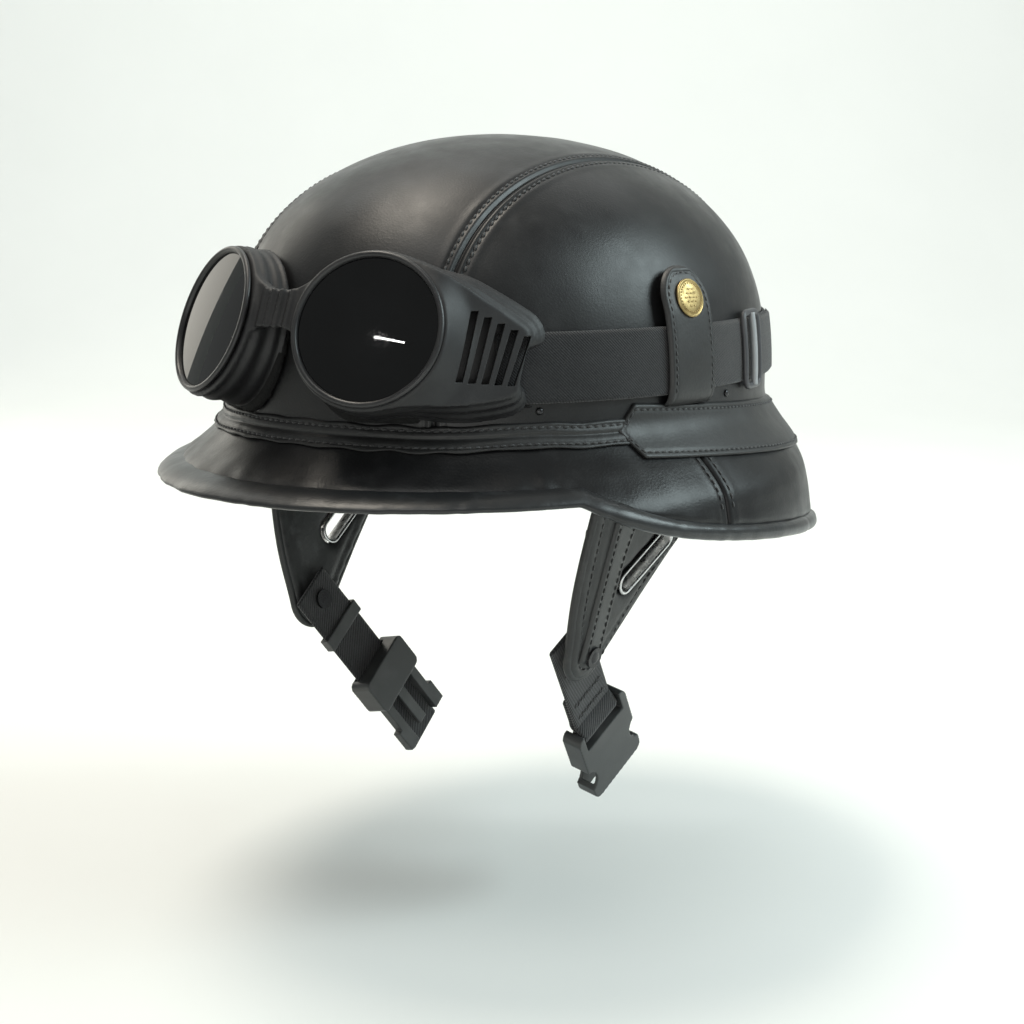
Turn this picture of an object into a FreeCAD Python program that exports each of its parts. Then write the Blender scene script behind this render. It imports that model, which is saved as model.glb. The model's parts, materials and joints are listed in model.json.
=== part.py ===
import FreeCAD, Part
import math
import os

# Leather-covered brimmed half helmet with strapped-on goggles, millimetres.
# Working frame: z = 0 at the seam between crown and brim, the wearer looks along -Y,
# +X is the wearer's left, +Z is up. Every piece is moved at the end so that the
# origin is the point of the inner crown that sits on the head.

V = FreeCAD.Vector

# Outer form of the leather: half lengths to the front and rear, half width, crown height
CROWN_FRONT = 131.0
CROWN_REAR = 141.0
CROWN_SIDE = 111.0
CROWN_HEIGHT = 118.0
CROWN_BASE = 5.0
CROWN_FULLNESS = 2.8
# Flare of the brim below the crown: height, then how far it stands out at front, rear and side
FLARE = [(5.0, 0.0, 0.0, 0.0), (-1.0, 2.0, 0.4, 1.5), (-8.0, 9.0, 1.6, 7.0), (-16.0, 20.5, 3.6, 15.0),
         (-25.0, 36.0, 6.0, 22.0), (-36.0, 50.0, 9.0, 24.8), (-48.0, 58.0, 12.0, 26.0),
         (-60.0, 68.0, 15.0, 27.8), (-78.0, 80.0, 19.0, 30.0)]
# Brim edge: level visor, a notch at each temple, then a skirt that falls to the nape
VISOR_EDGE = -25.0
NOTCH_Y = -92.0
SKIRT_DROP = 15.0
SKIRT_REACH = 27.0
SKIRT_SLOPE = 0.10
RIM_HEIGHT = 6.6
RIM_LIP = 0.9

# Layers from the outside in
LEATHER = 1.4
SHELL_WALL = 3.6
LINING = 1.2
FOAM = 18.0
COMFORT = 4.0
FOAM_FLOOR = -4.0
HEAD_BAND_TOP = 26.0
PANEL_GAP = 0.4
PANEL_SEAM_X = 56.0
BRIM_SEAM_Y = -22.0

# Trim sewn over the seam
TAPE_HALF = 5.0
TAPE_THICK = 1.2
BAND_THICK = 1.5
BAND_TIP_Y = -55.0
BAND_SHOULDER_Y = -47.0
BAND_HALF = 10.5
BAND_FALL = 0.075

# Elastic goggle strap and its retaining tabs
STRAP_WIDTH = 27.0
STRAP_THICK = 1.6
STRAP_RISE = 2.5
STRAP_Z = BAND_HALF + STRAP_RISE + STRAP_WIDTH / 2
STRAP_GAP = 0.6
STRAP_TUCK = 4.0
STRAP_FRONT_END = -14.0
STRAP_REAR_END = -6.0
TAB_Y = -18.0
TAB_WIDTH = 28.0
TAB_FOOT = 10.0
TAB_STANDOFF = 4.0
SNAP_RADIUS = 8.5
SNAP_HEIGHT = 3.2
SNAP_RISE = 11.0
SNAP_Z = STRAP_Z + STRAP_WIDTH / 2 + SNAP_RISE
SNAP_MARGIN = 13.0
TAB_TOP = SNAP_Z + SNAP_MARGIN
STUD_RADIUS = 2.2
STUD_CLEAR = 0.6
STUD_BASE = 1.2
SEATING = 0.2
SLIDER_Y = 37.0
SLIDER_LENGTH = 20.0
SLIDER_CLEAR = 0.9
SLIDER_WALL = 2.0
SLIDER_WINDOW = 5.7

# Goggles
LENS_X = 42.0
LENS_STANDOFF = 4.0
LENS_Y = -CROWN_FRONT - LENS_STANDOFF
LENS_Z = 42.5
LENS_YAW = 21.0
LENS_TILT = 20.0
LENS_RADIUS = 29.0
LENS_THICK = 2.2
LENS_CLEAR = 0.1
LENS_LEDGE = 2.4
BEZEL_WIDTH = 4.0
BEZEL_THICK = 2.4
BEZEL_LIP = 0.4
CUP_WALL = 2.6
CUP_DEPTH = 46.0
CUP_GROWTH = 4.0
GASKET = 3.0
GASKET_GAP = 0.5
WING_TIP_Y = -93.0
WING_STANDOFF = 13.6
WING_ROOT_SIDE = 0.80
WING_ROOT_BACK = 0.42
WING_TUCK = 4.0
WING_WALL = 3.0
WING_LEAN = 0.16
WING_DEPTH = 40.0
WING_MARGIN = 2.0
VENT_COUNT = 5
VENT_WIDTH = 3.0
VENT_PITCH = 5.2
VENT_HEIGHT = 24.0
VENT_DEPTH = 14.0
VENT_SLANT = 14.0
VENT_RISE = 2.5
VENT_INSET = 5.0
BRIDGE_HALF = 14.0
BRIDGE_WALL = 5.0
BRIDGE_FRONT = 9.0
BRIDGE_LOW = -2.0
BRIDGE_HIGH = 16.0
GOGGLE_BACK = -60.0

# Ear flaps, flat before they are hung at the lean angle
FLAP_INSET = 13.2
FLAP_X = CROWN_SIDE - FLAP_INSET
FLAP_TOP = -7.0
FLAP_LEAN = 12.0
FLAP_THICK = 7.0
FLAP_TOP_GAP = 1.8
FLAP_FRONT = -52.0
FLAP_REAR = 30.0
FLAP_BULGE = 6.0
FLAP_BEND = 0.62
FLAP_HINGE_THICK = 2.4
HINGE_INSET = 2.0
HINGE_FRONT_INSET = 10.0
PIVOT_Y = -44.0
PIVOT_Z = -92.0
TIP_RADIUS = 11.5
SLOT_RADIUS = 4.0
SLOT_ENDS = ((-26.0, -62.0), (-2.0, -46.0))
SLOT_RIM = 1.4
FACING_THICK = 1.6
FACING_FRONT = 16.0
FACING_WIDTH = 26.0
FACING_FOOT = 12.0

# Chin webbing and side-release buckle
WEB_WIDTH = 25.0
WEB_THICK = 2.0
WEB_GAP = 1.6
WEB_DROP = 50.0
WEB_SWING = 36.0
RIVET_RADIUS = 2.0
RIVET_HEAD = 4.5
RIVET_HEAD_THICK = 1.2
RIVET_PLAY = 1.0
PIVOT_CLEAR = 0.06
LOOP_NECK = 12.0
BAR_RADIUS = 1.8
BUCKLE_MARGIN = 10.0
BUCKLE_WIDTH = WEB_WIDTH + BUCKLE_MARGIN
BUCKLE_LENGTH = 38.0
BUCKLE_THICK = 10.0
BUCKLE_WALL = 1.6
BUCKLE_SIDE = 2.4
BUCKLE_ROUND = 4.0
BUCKLE_HEAD = 4.5
SLOT_CLEAR = 0.8
BAR_WINDOW = 5.5
BAR_WEB = 3.0
RELEASE_RADIUS = 6.5
RELEASE_BACK = 14.0
PRONG_LENGTH = 27.0
PRONG_WIDTH = 5.0
PRONG_THICK = 4.6
PRONG_INSET = 7.5
PRONG_OUT = BUCKLE_WIDTH / 2 - PRONG_INSET
PRONG_BARB = 2.5
BARB_LENGTH = 12.0
PRONG_PIN = 1.2
TONGUE_HALF = 3.0
TONGUE_THICK = 2.8
PLUG_HEAD = 7.0
PLUG_FOOT = 12.0
PLUG_ROUND = 3.0
PLUG_SKIN = 1.0
THREAD_CLEAR = 0.3
ADJUST_TRAVEL = 20.0
KEEPER_LOW = -21.5
KEEPER_LENGTH = 7.0
KEEPER_WALL = 1.4
TAIL_LENGTH = 24.0
PLUG_OFFSET = 4.2

# Capped rivets of the strap anchors, in the crown ahead of the tab and behind it
ANCHOR_FRONT = (-84.0, 9.5)
ANCHOR_REAR = (14.0, 9.3)
ANCHOR_RADIUS = 3.0
ANCHOR_THICK = 1.2

FAR = 260.0
SEAT_DROP = CROWN_HEIGHT - LEATHER - SHELL_WALL - FOAM - COMFORT


def box(x0, x1, y0, y1, z0, z1):
    """Axis-aligned box between two corners."""
    return Part.makeBox(x1 - x0, y1 - y0, z1 - z0, V(x0, y0, z0))


def prism_x(outline, x0=-FAR, x1=FAR):
    """Closed outline of (y, z) points, extruded along X."""
    points = [V(x0, y, z) for y, z in outline]
    face = Part.Face(Part.makePolygon(points + points[:1]))
    return face.extrude(V(x1 - x0, 0, 0))


def flip(shape):
    """The same piece on the other side of the helmet."""
    return shape.mirror(V(0, 0, 0), V(1, 0, 0))


def both(shape):
    """A piece and its mirror image as one group of solids."""
    return Part.makeCompound([shape, flip(shape)])


def half_egg(z, reach, side):
    """Half an ellipse in plan, from one side round the end at reach to the other side."""
    half = math.pi / 2
    if abs(reach) >= abs(side):
        return Part.Ellipse(V(0, reach, z), V(side, 0, z), V(0, 0, z)).toShape(-half, half)
    return Part.Ellipse(V(-side, 0, z), V(0, reach, z), V(0, 0, z)).toShape(0, math.pi).reversed()


def egg(z, front, rear, side):
    """Plan outline: half an ellipse to the rear and half of a shorter one to the front."""
    return Part.Wire([half_egg(z, rear, side), half_egg(z, -front, -side)])


def half_dome(side, reach, height, turn):
    """Quarter of the crown swept half a turn, then stretched to reach."""
    points = []
    for step in range(13):
        angle = math.pi / 24 * step
        rise = (height - CROWN_BASE) * max(0.0, math.cos(angle)) ** (2 / CROWN_FULLNESS)
        points.append(V(side * math.sin(angle), 0, CROWN_BASE + rise))
    curve = Part.BSplineCurve()
    curve.interpolate(Points=points, InitialTangent=V(1, 0, 0), FinalTangent=V(0, 0, -1))
    foot = V(0, 0, CROWN_BASE)
    outline = Part.Wire([curve.toShape(), Part.makeLine(points[-1], foot), Part.makeLine(foot, points[0])])
    dome = Part.Face(outline).revolve(V(0, 0, 0), V(0, 0, 1), 180)
    dome.rotate(V(0, 0, 0), V(0, 0, 1), turn)
    stretch = FreeCAD.Matrix()
    stretch.A22 = reach / side
    return dome.transformGeometry(stretch)


def slopes(column):
    """How fast the flare stands out with falling height, for one column of FLARE."""
    result = []
    for i in range(len(FLARE)):
        a, b = FLARE[max(i - 1, 0)], FLARE[min(i + 1, len(FLARE) - 1)]
        result.append((b[column] - a[column]) / (a[0] - b[0]))
    result[0] = 0.0
    return result


FORMS = {}


def form(out):
    """The filled outer form of the helmet, grown by out (or shrunk when out is negative)."""
    if out not in FORMS:
        columns = [slopes(c) for c in (1, 2, 3)]
        rows = []
        for i, (z, front, rear, side) in enumerate(FLARE):
            grow = [out * math.hypot(1, column[i]) for column in columns]
            rows.append(egg(z, CROWN_FRONT + front + grow[0], CROWN_REAR + rear + grow[1],
                            CROWN_SIDE + side + grow[2]))
        bell = Part.makeLoft(rows, True, False)
        side, height = CROWN_SIDE + out, CROWN_HEIGHT + out
        rear = half_dome(side, CROWN_REAR + out, height, 0)
        front = half_dome(side, CROWN_FRONT + out, height, 180)
        FORMS[out] = rear.fuse(front).fuse(bell)
    return FORMS[out]


def layer(outer, inner):
    """Skin between two offsets of the form."""
    return form(outer).cut(form(inner))


def edge_height(y):
    """Height of the brim's lowest edge at y."""
    run = max(0.0, y - NOTCH_Y)
    return VISOR_EDGE - SKIRT_SLOPE * run - SKIRT_DROP * (1 - math.exp(-run / SKIRT_REACH))


def under_edge(lift):
    """Everything below the brim edge raised by lift."""
    curve = Part.BSplineCurve()
    curve.interpolate([V(-FAR, y, edge_height(y) + lift) for y in
                       [NOTCH_Y + FAR * 1.3 * (i / 12.0) ** 1.7 for i in range(13)]])
    last = curve.EndPoint
    start = V(-FAR, NOTCH_Y, VISOR_EDGE + lift)
    corners = [last, V(-FAR, last.y, -FAR), V(-FAR, -FAR, -FAR), V(-FAR, -FAR, VISOR_EDGE + lift), start]
    lines = [Part.makeLine(a, b) for a, b in zip(corners, corners[1:])]
    return Part.Face(Part.Wire([curve.toShape()] + lines)).extrude(V(2 * FAR, 0, 0))


def band_outline(grow=0.0):
    """Side view of the rear band: a point at the temple, falling towards the nape."""
    rear_y = CROWN_REAR + 20
    fall = BAND_FALL * (rear_y - BAND_SHOULDER_Y)
    half = BAND_HALF + grow
    return [(BAND_TIP_Y - grow, 0.0), (BAND_SHOULDER_Y, half), (rear_y, half - fall),
            (rear_y, -half - fall), (BAND_SHOULDER_Y, -half)]


def make_shell():
    """Moulded shell, its leather panels, the lining under the brim and the rolled rim."""
    above_rim = under_edge(RIM_HEIGHT)
    shell = layer(-LEATHER, -LEATHER - SHELL_WALL).cut(above_rim)
    save("shell", shell)
    leather = layer(0.0, -LEATHER).cut(above_rim)
    crown = leather.common(box(-FAR, FAR, -FAR, FAR, 0.0, FAR))
    brim = leather.common(box(-FAR, FAR, -FAR, FAR, -FAR, -PANEL_GAP))
    seam = PANEL_SEAM_X
    save("crown_panel_center", crown.common(box(-seam, seam, -FAR, FAR, 0, FAR)))
    left = crown.common(box(seam + PANEL_GAP, FAR, -FAR, FAR, 0, FAR))
    save("crown_panel_left", left)
    save("crown_panel_right", flip(left))
    save("brim_cover_front", brim.common(box(-FAR, FAR, -FAR, BRIM_SEAM_Y, -FAR, 0)))
    save("brim_cover_rear", brim.common(box(-FAR, FAR, BRIM_SEAM_Y + PANEL_GAP, FAR, -FAR, 0)))
    inside = -LEATHER - SHELL_WALL
    lining = layer(inside, inside - LINING).cut(above_rim)
    save("brim_lining", lining.common(box(-FAR, FAR, -FAR, FAR, -FAR, FOAM_FLOOR - PANEL_GAP)))
    rim = layer(RIM_LIP, inside - LINING - RIM_LIP).common(above_rim).cut(under_edge(0.0))
    save("edge_rim", rim)


def make_trim():
    """Raised seam tape at the front and the pointed leather band round the back."""
    band = layer(BAND_THICK, 0.0).common(prism_x(band_outline()))
    save("rear_band", band)
    tape = layer(TAPE_THICK, 0.0).common(box(-FAR, FAR, -FAR, BAND_SHOULDER_Y, -TAPE_HALF, TAPE_HALF))
    save("seam_tape", tape.cut(prism_x(band_outline(PANEL_GAP))))


def make_liner():
    """Foam, quilted comfort liner and leather head band inside the crown."""
    foam_out = -LEATHER - SHELL_WALL
    foam_in = foam_out - FOAM
    lined = foam_in - COMFORT
    save("foam_liner", layer(foam_out, foam_in).common(box(-FAR, FAR, -FAR, FAR, FOAM_FLOOR, FAR)))
    inner = layer(foam_in, lined)
    save("comfort_liner", inner.common(box(-FAR, FAR, -FAR, FAR, HEAD_BAND_TOP + PANEL_GAP, FAR)))
    band = layer(foam_in, lined + COMFORT / 3)
    save("head_band", band.common(box(-FAR, FAR, -FAR, FAR, FOAM_FLOOR, HEAD_BAND_TOP)))


def strap_run(y0, y1, outer=STRAP_GAP + STRAP_THICK):
    """Elastic strap against the crown on both sides, between two stations."""
    low, high = STRAP_Z - STRAP_WIDTH / 2, STRAP_Z + STRAP_WIDTH / 2
    return layer(outer, STRAP_GAP).common(box(-FAR, FAR, y0, y1, low, high))


def crown_x(y, z, out=0.0):
    """Half width of the crown at a station y behind the widest point or ahead of it."""
    height = CROWN_HEIGHT + out - CROWN_BASE
    full = 1 - (max(0.0, z - CROWN_BASE) / height) ** CROWN_FULLNESS
    reach = (CROWN_REAR if y > 0 else CROWN_FRONT) + out
    return (CROWN_SIDE + out) * math.sqrt(full - (y / reach) ** 2)


def make_strap():
    """Elastic strap in three runs, its plastic slider, the leather tabs and the snaps."""
    front = strap_run(WING_TIP_Y - STRAP_TUCK, STRAP_FRONT_END)
    left = front.common(box(0, FAR, -FAR, FAR, -FAR, FAR))
    save("strap_front_left", left)
    save("strap_front_right", flip(left))
    save("strap_rear", strap_run(STRAP_REAR_END, FAR))

    tab = layer(TAB_STANDOFF + LEATHER, TAB_STANDOFF)
    half = TAB_WIDTH / 2
    shape = Part.makeCylinder(half, FAR, V(0, TAB_Y, TAB_TOP - half), V(1, 0, 0))
    shape = shape.fuse(box(0, FAR, TAB_Y - half, TAB_Y + half, TAB_FOOT, TAB_TOP - half))
    tab = tab.common(shape)
    # domed cap on the tab, over a stud on the shell
    seat_x = crown_x(TAB_Y, SNAP_Z)
    step = SNAP_RADIUS / 2
    up_slope = crown_x(TAB_Y, SNAP_Z - step) - crown_x(TAB_Y, SNAP_Z + step)
    back_slope = crown_x(TAB_Y - step, SNAP_Z) - crown_x(TAB_Y + step, SNAP_Z)
    along = V(2 * step, back_slope, up_slope).normalize()
    seat = V(seat_x, TAB_Y, SNAP_Z)
    tab_foot = seat + along * (TAB_STANDOFF + LEATHER)
    hole = Part.makeCylinder(STUD_RADIUS + STUD_CLEAR, FAR, seat, along)
    pressed = Part.makeCylinder(SNAP_RADIUS + SEATING, FAR, tab_foot, along)
    tab = biggest(tab.cut(hole).cut(pressed))
    save("strap_tab_left", tab)
    save("strap_tab_right", flip(tab))
    radius = (SNAP_RADIUS ** 2 + SNAP_HEIGHT ** 2) / (2 * SNAP_HEIGHT)
    ball = Part.makeSphere(radius, tab_foot + along * (SNAP_HEIGHT - radius))
    cap = ball.common(Part.makeCylinder(SNAP_RADIUS, SNAP_HEIGHT * 2, tab_foot, along))
    cap = cap.cut(Part.makeCylinder(STUD_RADIUS + STUD_CLEAR, SNAP_HEIGHT / 2, tab_foot, along))
    save("snap_cap_left", cap)
    save("snap_cap_right", flip(cap))
    stud_foot = seat
    stud = Part.makeCylinder(STUD_RADIUS * 2, STUD_BASE, stud_foot, along)
    stud = stud.fuse(Part.makeCylinder(STUD_RADIUS, TAB_STANDOFF + LEATHER, stud_foot, along))
    stud = biggest(stud.cut(form(0.0)))
    save("snap_stud_left", stud)
    save("snap_stud_right", flip(stud))

    # slider: a frame round the strap with a bar across the middle of its outer side
    y0, y1 = SLIDER_Y - SLIDER_LENGTH / 2, SLIDER_Y + SLIDER_LENGTH / 2
    x_in = crown_x(y1, STRAP_Z)
    x_out = crown_x(y0, STRAP_Z, STRAP_GAP + STRAP_THICK) + SLIDER_CLEAR + SLIDER_WALL
    half = STRAP_WIDTH / 2 + SLIDER_CLEAR + SLIDER_WALL
    frame = box(x_in, x_out, y0, y1, STRAP_Z - half, STRAP_Z + half)
    frame = frame.cut(form(SLIDER_CLEAR))
    inner = half - SLIDER_WALL
    frame = frame.cut(box(0, x_out - SLIDER_WALL, y0 - 1, y1 + 1, STRAP_Z - inner, STRAP_Z + inner))
    for middle in (SLIDER_Y - SLIDER_LENGTH / 4, SLIDER_Y + SLIDER_LENGTH / 4):
        y0, y1 = middle - SLIDER_WINDOW / 2, middle + SLIDER_WINDOW / 2
        frame = frame.cut(box(0, FAR, y0, y1, STRAP_Z - inner, STRAP_Z + inner))
    save("strap_slider", frame)


def lens_axes():
    """Centre of the left lens and the way it faces."""
    yaw, tilt = math.radians(LENS_YAW), math.radians(LENS_TILT)
    facing = V(math.sin(yaw) * math.cos(tilt), -math.cos(yaw) * math.cos(tilt), math.sin(tilt))
    return V(LENS_X, LENS_Y, LENS_Z), facing


def disc(radius, start, length, radius_end=None):
    """Round solid on the left lens axis, start and length measured outwards."""
    centre, facing = lens_axes()
    foot = centre + facing * start
    if radius_end is None:
        return Part.makeCylinder(radius, length, foot, facing)
    return Part.makeCone(radius, radius_end, length, foot, facing)


def wing_line():
    """Root of the left wing, the way it runs back to the strap, its outward side, its length."""
    start = V(LENS_X + WING_ROOT_SIDE * LENS_RADIUS, LENS_Y + WING_ROOT_BACK * LENS_RADIUS, 0)
    tip = V(crown_x(WING_TIP_Y, STRAP_Z) + WING_STANDOFF, WING_TIP_Y, 0)
    run = (tip - start).normalize()
    out = V(run.y, -run.x, 0)
    return start - run * WING_TUCK, run, out, (tip - start).Length + WING_TUCK


def wing_block(inset):
    """Tapered block from the eye cup back to the strap, shrunk by inset for the hollow."""
    start, run, out, length = wing_line()
    a = start - out * inset
    b = a + run * (length - inset)
    low0, high0 = LENS_Z - LENS_RADIUS - WING_MARGIN, LENS_Z + LENS_RADIUS - 2 * WING_MARGIN
    low1, high1 = STRAP_Z - STRAP_WIDTH / 2 - WING_MARGIN, STRAP_Z + STRAP_WIDTH / 2 + WING_MARGIN

    def corner(point, z):
        return V(point.x, point.y, z) - out * (WING_LEAN * (z - STRAP_Z))
    outline = [corner(a, low0 + inset), corner(b, low1 + inset), corner(b, high1 - inset),
               corner(a, high0 - inset)]
    face = Part.Face(Part.makePolygon(outline + outline[:1]))
    return face.extrude(out * -WING_DEPTH)


def wing_vents():
    """Row of slanted slots through the wing, in front of the strap."""
    start, run, out, length = wing_line()
    half = VENT_WIDTH / 2
    vents = []
    for i in range(VENT_COUNT):
        foot = start + run * (length - VENT_INSET - VENT_PITCH * i)
        slot = box(-half, half, -1, VENT_DEPTH, -VENT_HEIGHT / 2, VENT_HEIGHT / 2)
        slot.rotate(V(0, 0, 0), V(0, 1, 0), -VENT_SLANT)
        turn = FreeCAD.Rotation(V(0, -1, 0), out)
        place = FreeCAD.Placement(V(foot.x, foot.y, STRAP_Z + VENT_RISE), turn)
        slot.Placement = place.multiply(slot.Placement)
        vents.append(slot)
    return vents


def make_goggles():
    """Goggle frame with vented wings and bridge, gasket, lenses, bezels and strap bars."""
    face_gap = GASKET + GASKET_GAP
    outer = LENS_RADIUS + CUP_WALL
    ledge = LENS_RADIUS - LENS_LEDGE
    cup = disc(outer + CUP_GROWTH, -CUP_DEPTH, CUP_DEPTH, outer)
    bore = disc(ledge + CUP_GROWTH, -CUP_DEPTH - 1, CUP_DEPTH + 2, ledge)
    pocket = disc(LENS_RADIUS + LENS_CLEAR, -LENS_THICK - LENS_CLEAR, LENS_THICK + BEZEL_THICK)
    wing = wing_block(0.0)
    hollow = wing_block(WING_WALL)
    side = cup.fuse(wing).cut(Part.makeCompound([hollow] + wing_vents()))
    low, high = LENS_Z + BRIDGE_LOW, LENS_Z + BRIDGE_HIGH
    bridge = box(-BRIDGE_HALF, BRIDGE_HALF, LENS_Y - BRIDGE_FRONT, 0, low, high)
    nose = box(-BRIDGE_HALF, BRIDGE_HALF, LENS_Y - BRIDGE_FRONT + BRIDGE_WALL, 0,
               low - 1, high - BRIDGE_WALL)
    frame = side.fuse(flip(side)).fuse(bridge.cut(nose))
    rim = outer + BEZEL_LIP
    seat = disc(rim + LENS_CLEAR, 0, CUP_DEPTH)
    frame = frame.cut(Part.makeCompound([bore, pocket, seat, flip(bore), flip(pocket), flip(seat)]))
    behind = box(-FAR, FAR, GOGGLE_BACK, FAR, -FAR, FAR)
    save("goggle_frame", biggest(frame.cut(form(face_gap).fuse(behind))))
    pad = cup.fuse(wing).common(layer(face_gap, GASKET_GAP)).cut(hollow).cut(bore)
    low, high = STRAP_Z - STRAP_WIDTH / 2 - 1, STRAP_Z + STRAP_WIDTH / 2 + 1
    strap_way = box(-FAR, FAR, WING_TIP_Y - STRAP_TUCK - 1, FAR, low, high)
    over_tape = box(-FAR, FAR, -FAR, FAR, -FAR, TAPE_HALF + GASKET_GAP)
    pad = pad.cut(behind).cut(strap_way).cut(over_tape)
    save("goggle_gasket_left", biggest(pad))
    save("goggle_gasket_right", flip(biggest(pad)))
    lens = disc(LENS_RADIUS, -LENS_THICK, LENS_THICK)
    save("lens_left", lens)
    save("lens_right", flip(lens))
    ring = disc(rim, 0, BEZEL_THICK).cut(disc(rim - BEZEL_WIDTH, -1, BEZEL_THICK + 2))
    save("lens_bezel_left", ring)
    save("lens_bezel_right", flip(ring))


def biggest(shape):
    """The largest solid of a result, without loose slivers."""
    return max(shape.Solids, key=lambda solid: solid.Volume)


def hang(shape):
    """From the flat frame of the left flap to the helmet: lean inwards, then to its hinge."""
    placed = shape.copy()
    placed.rotate(V(0, 0, 0), V(0, 1, 0), FLAP_LEAN)
    placed.translate(V(FLAP_X, 0, FLAP_TOP))
    return placed


def flap_outline():
    """Flap outline: straight top, full front edge, round tip and a slanting rear edge."""
    top = V(0, FLAP_FRONT, -FLAP_TOP_GAP)
    front = V(0, FLAP_FRONT - FLAP_BULGE, FLAP_BEND * PIVOT_Z)
    tip_front = V(0, PIVOT_Y - TIP_RADIUS, PIVOT_Z)
    tip_low = V(0, PIVOT_Y - 1, PIVOT_Z - TIP_RADIUS)
    tip_rear = V(0, PIVOT_Y + TIP_RADIUS * 0.9, PIVOT_Z - TIP_RADIUS * 0.3)
    middle = V(0, 0.1 * FLAP_REAR, FLAP_BEND * PIVOT_Z)
    rear = V(0, FLAP_REAR, 0.32 * PIVOT_Z)
    corner = V(0, FLAP_REAR, -FLAP_TOP_GAP)
    front_curve = Part.BSplineCurve()
    front_curve.interpolate([top, front, tip_front])
    tip = Part.Arc(tip_front, tip_low, tip_rear)
    rear_curve = Part.BSplineCurve()
    rear_curve.interpolate([tip_rear, middle, rear])
    return Part.Wire([front_curve.toShape(), tip.toShape(), rear_curve.toShape(),
                      Part.makeLine(rear, corner), Part.makeLine(corner, top)])


def slot_solid(radius, x0, x1):
    """Long rounded slot along the rear edge of the flap, grown to a radius."""
    (y0, z0), (y1, z1) = SLOT_ENDS
    ends = [Part.makeCylinder(radius, x1 - x0, V(x0, y, z), V(1, 0, 0)) for y, z in SLOT_ENDS]
    length = math.hypot(y1 - y0, z1 - z0)
    bar = box(x0, x1, 0, length, -radius, radius)
    bar.rotate(V(0, 0, 0), V(1, 0, 0), math.degrees(math.atan2(z1 - z0, y1 - y0)))
    bar.translate(V(0, y0, z0))
    return ends[0].fuse(ends[1]).fuse(bar)


def make_flaps():
    """Padded ear flaps with a metal-rimmed hearing slot, facing strap, hinge and rivet."""
    half = FLAP_THICK / 2
    outline = flap_outline()
    flap = Part.Face(outline).extrude(V(FLAP_THICK, 0, 0))
    flap.translate(V(-half, 0, 0))
    bore = Part.makeCylinder(RIVET_RADIUS, FAR, V(-FAR / 2, PIVOT_Y, PIVOT_Z), V(1, 0, 0))
    flap = flap.cut(slot_solid(SLOT_RADIUS + SLOT_RIM, -half - 1, half + 1)).cut(bore)
    rim = slot_solid(SLOT_RADIUS + SLOT_RIM, -half, half).cut(slot_solid(SLOT_RADIUS, -half - 1, half + 1))
    facing = prism_x([(FLAP_FRONT + FACING_FRONT, -2), (PIVOT_Y - FACING_FOOT / 2, PIVOT_Z - 2),
                      (PIVOT_Y + FACING_FOOT / 2, PIVOT_Z - 5),
                      (FLAP_FRONT + FACING_FRONT + FACING_WIDTH, -2)], half, half + FACING_THICK)
    facing = facing.cut(slot_solid(SLOT_RADIUS + SLOT_RIM, half - 1, half + 3)).cut(bore)
    hinge = box(-FLAP_HINGE_THICK / 2, FLAP_HINGE_THICK / 2, FLAP_FRONT + HINGE_FRONT_INSET,
                FLAP_REAR - HINGE_INSET, -0.2, 2.6)
    inner_face = -half - WEB_GAP - WEB_THICK - RIVET_PLAY
    outer_face = half + FACING_THICK
    reach = outer_face - inner_face
    shaft = Part.makeCylinder(RIVET_RADIUS, reach, V(inner_face, PIVOT_Y, PIVOT_Z), V(1, 0, 0))
    outer_foot = V(outer_face, PIVOT_Y, PIVOT_Z)
    outer_head = Part.makeCylinder(RIVET_HEAD, RIVET_HEAD_THICK, outer_foot, V(1, 0, 0))
    inner_foot = V(inner_face - RIVET_HEAD_THICK + SEATING, PIVOT_Y, PIVOT_Z)
    inner_head = Part.makeCylinder(RIVET_HEAD, RIVET_HEAD_THICK, inner_foot, V(1, 0, 0))
    rivet = shaft.fuse(outer_head).fuse(inner_head)
    pieces = {"ear_flap": flap, "slot_rim": rim, "flap_facing": facing, "flap_rivet": rivet}
    for name, piece in pieces.items():
        hung = hang(piece)
        save(name + "_left", hung)
        save(name + "_right", flip(hung))
    hung = hang(hinge).common(box(-FAR, FAR, -FAR, FAR, -FAR, FOAM_FLOOR))
    save("flap_hinge_left", hung)
    save("flap_hinge_right", flip(hung))


def swing(shape):
    """From the strap frame (pivot at the origin, strap running down -Z) to the helmet."""
    placed = shape.copy()
    placed.rotate(V(0, 0, 0), V(1, 0, 0), WEB_SWING)
    placed.translate(V(0, PIVOT_Y, PIVOT_Z))
    return hang(placed)


def webbing(length):
    """Flat strap with a rivet hole at the top, on the inner face of the flap."""
    x1 = -FLAP_THICK / 2 - WEB_GAP
    x0 = x1 - WEB_THICK
    half = WEB_WIDTH / 2
    strap = box(x0, x1, -half, half, -length, 0)
    strap = strap.fuse(Part.makeCylinder(half, WEB_THICK, V(x0, 0, 0), V(1, 0, 0)))
    hole = Part.makeCylinder(RIVET_RADIUS + PIVOT_CLEAR, FAR, V(-FAR / 2, 0, 0), V(1, 0, 0))
    return strap.cut(hole), (x0 + x1) / 2


def rounded(shape, radius):
    """The piece with its four long corner edges rounded."""
    edges = [e for e in shape.Edges if abs(e.tangentAt(e.FirstParameter).x) > 0.99]
    return shape.makeFillet(radius, edges)


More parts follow.
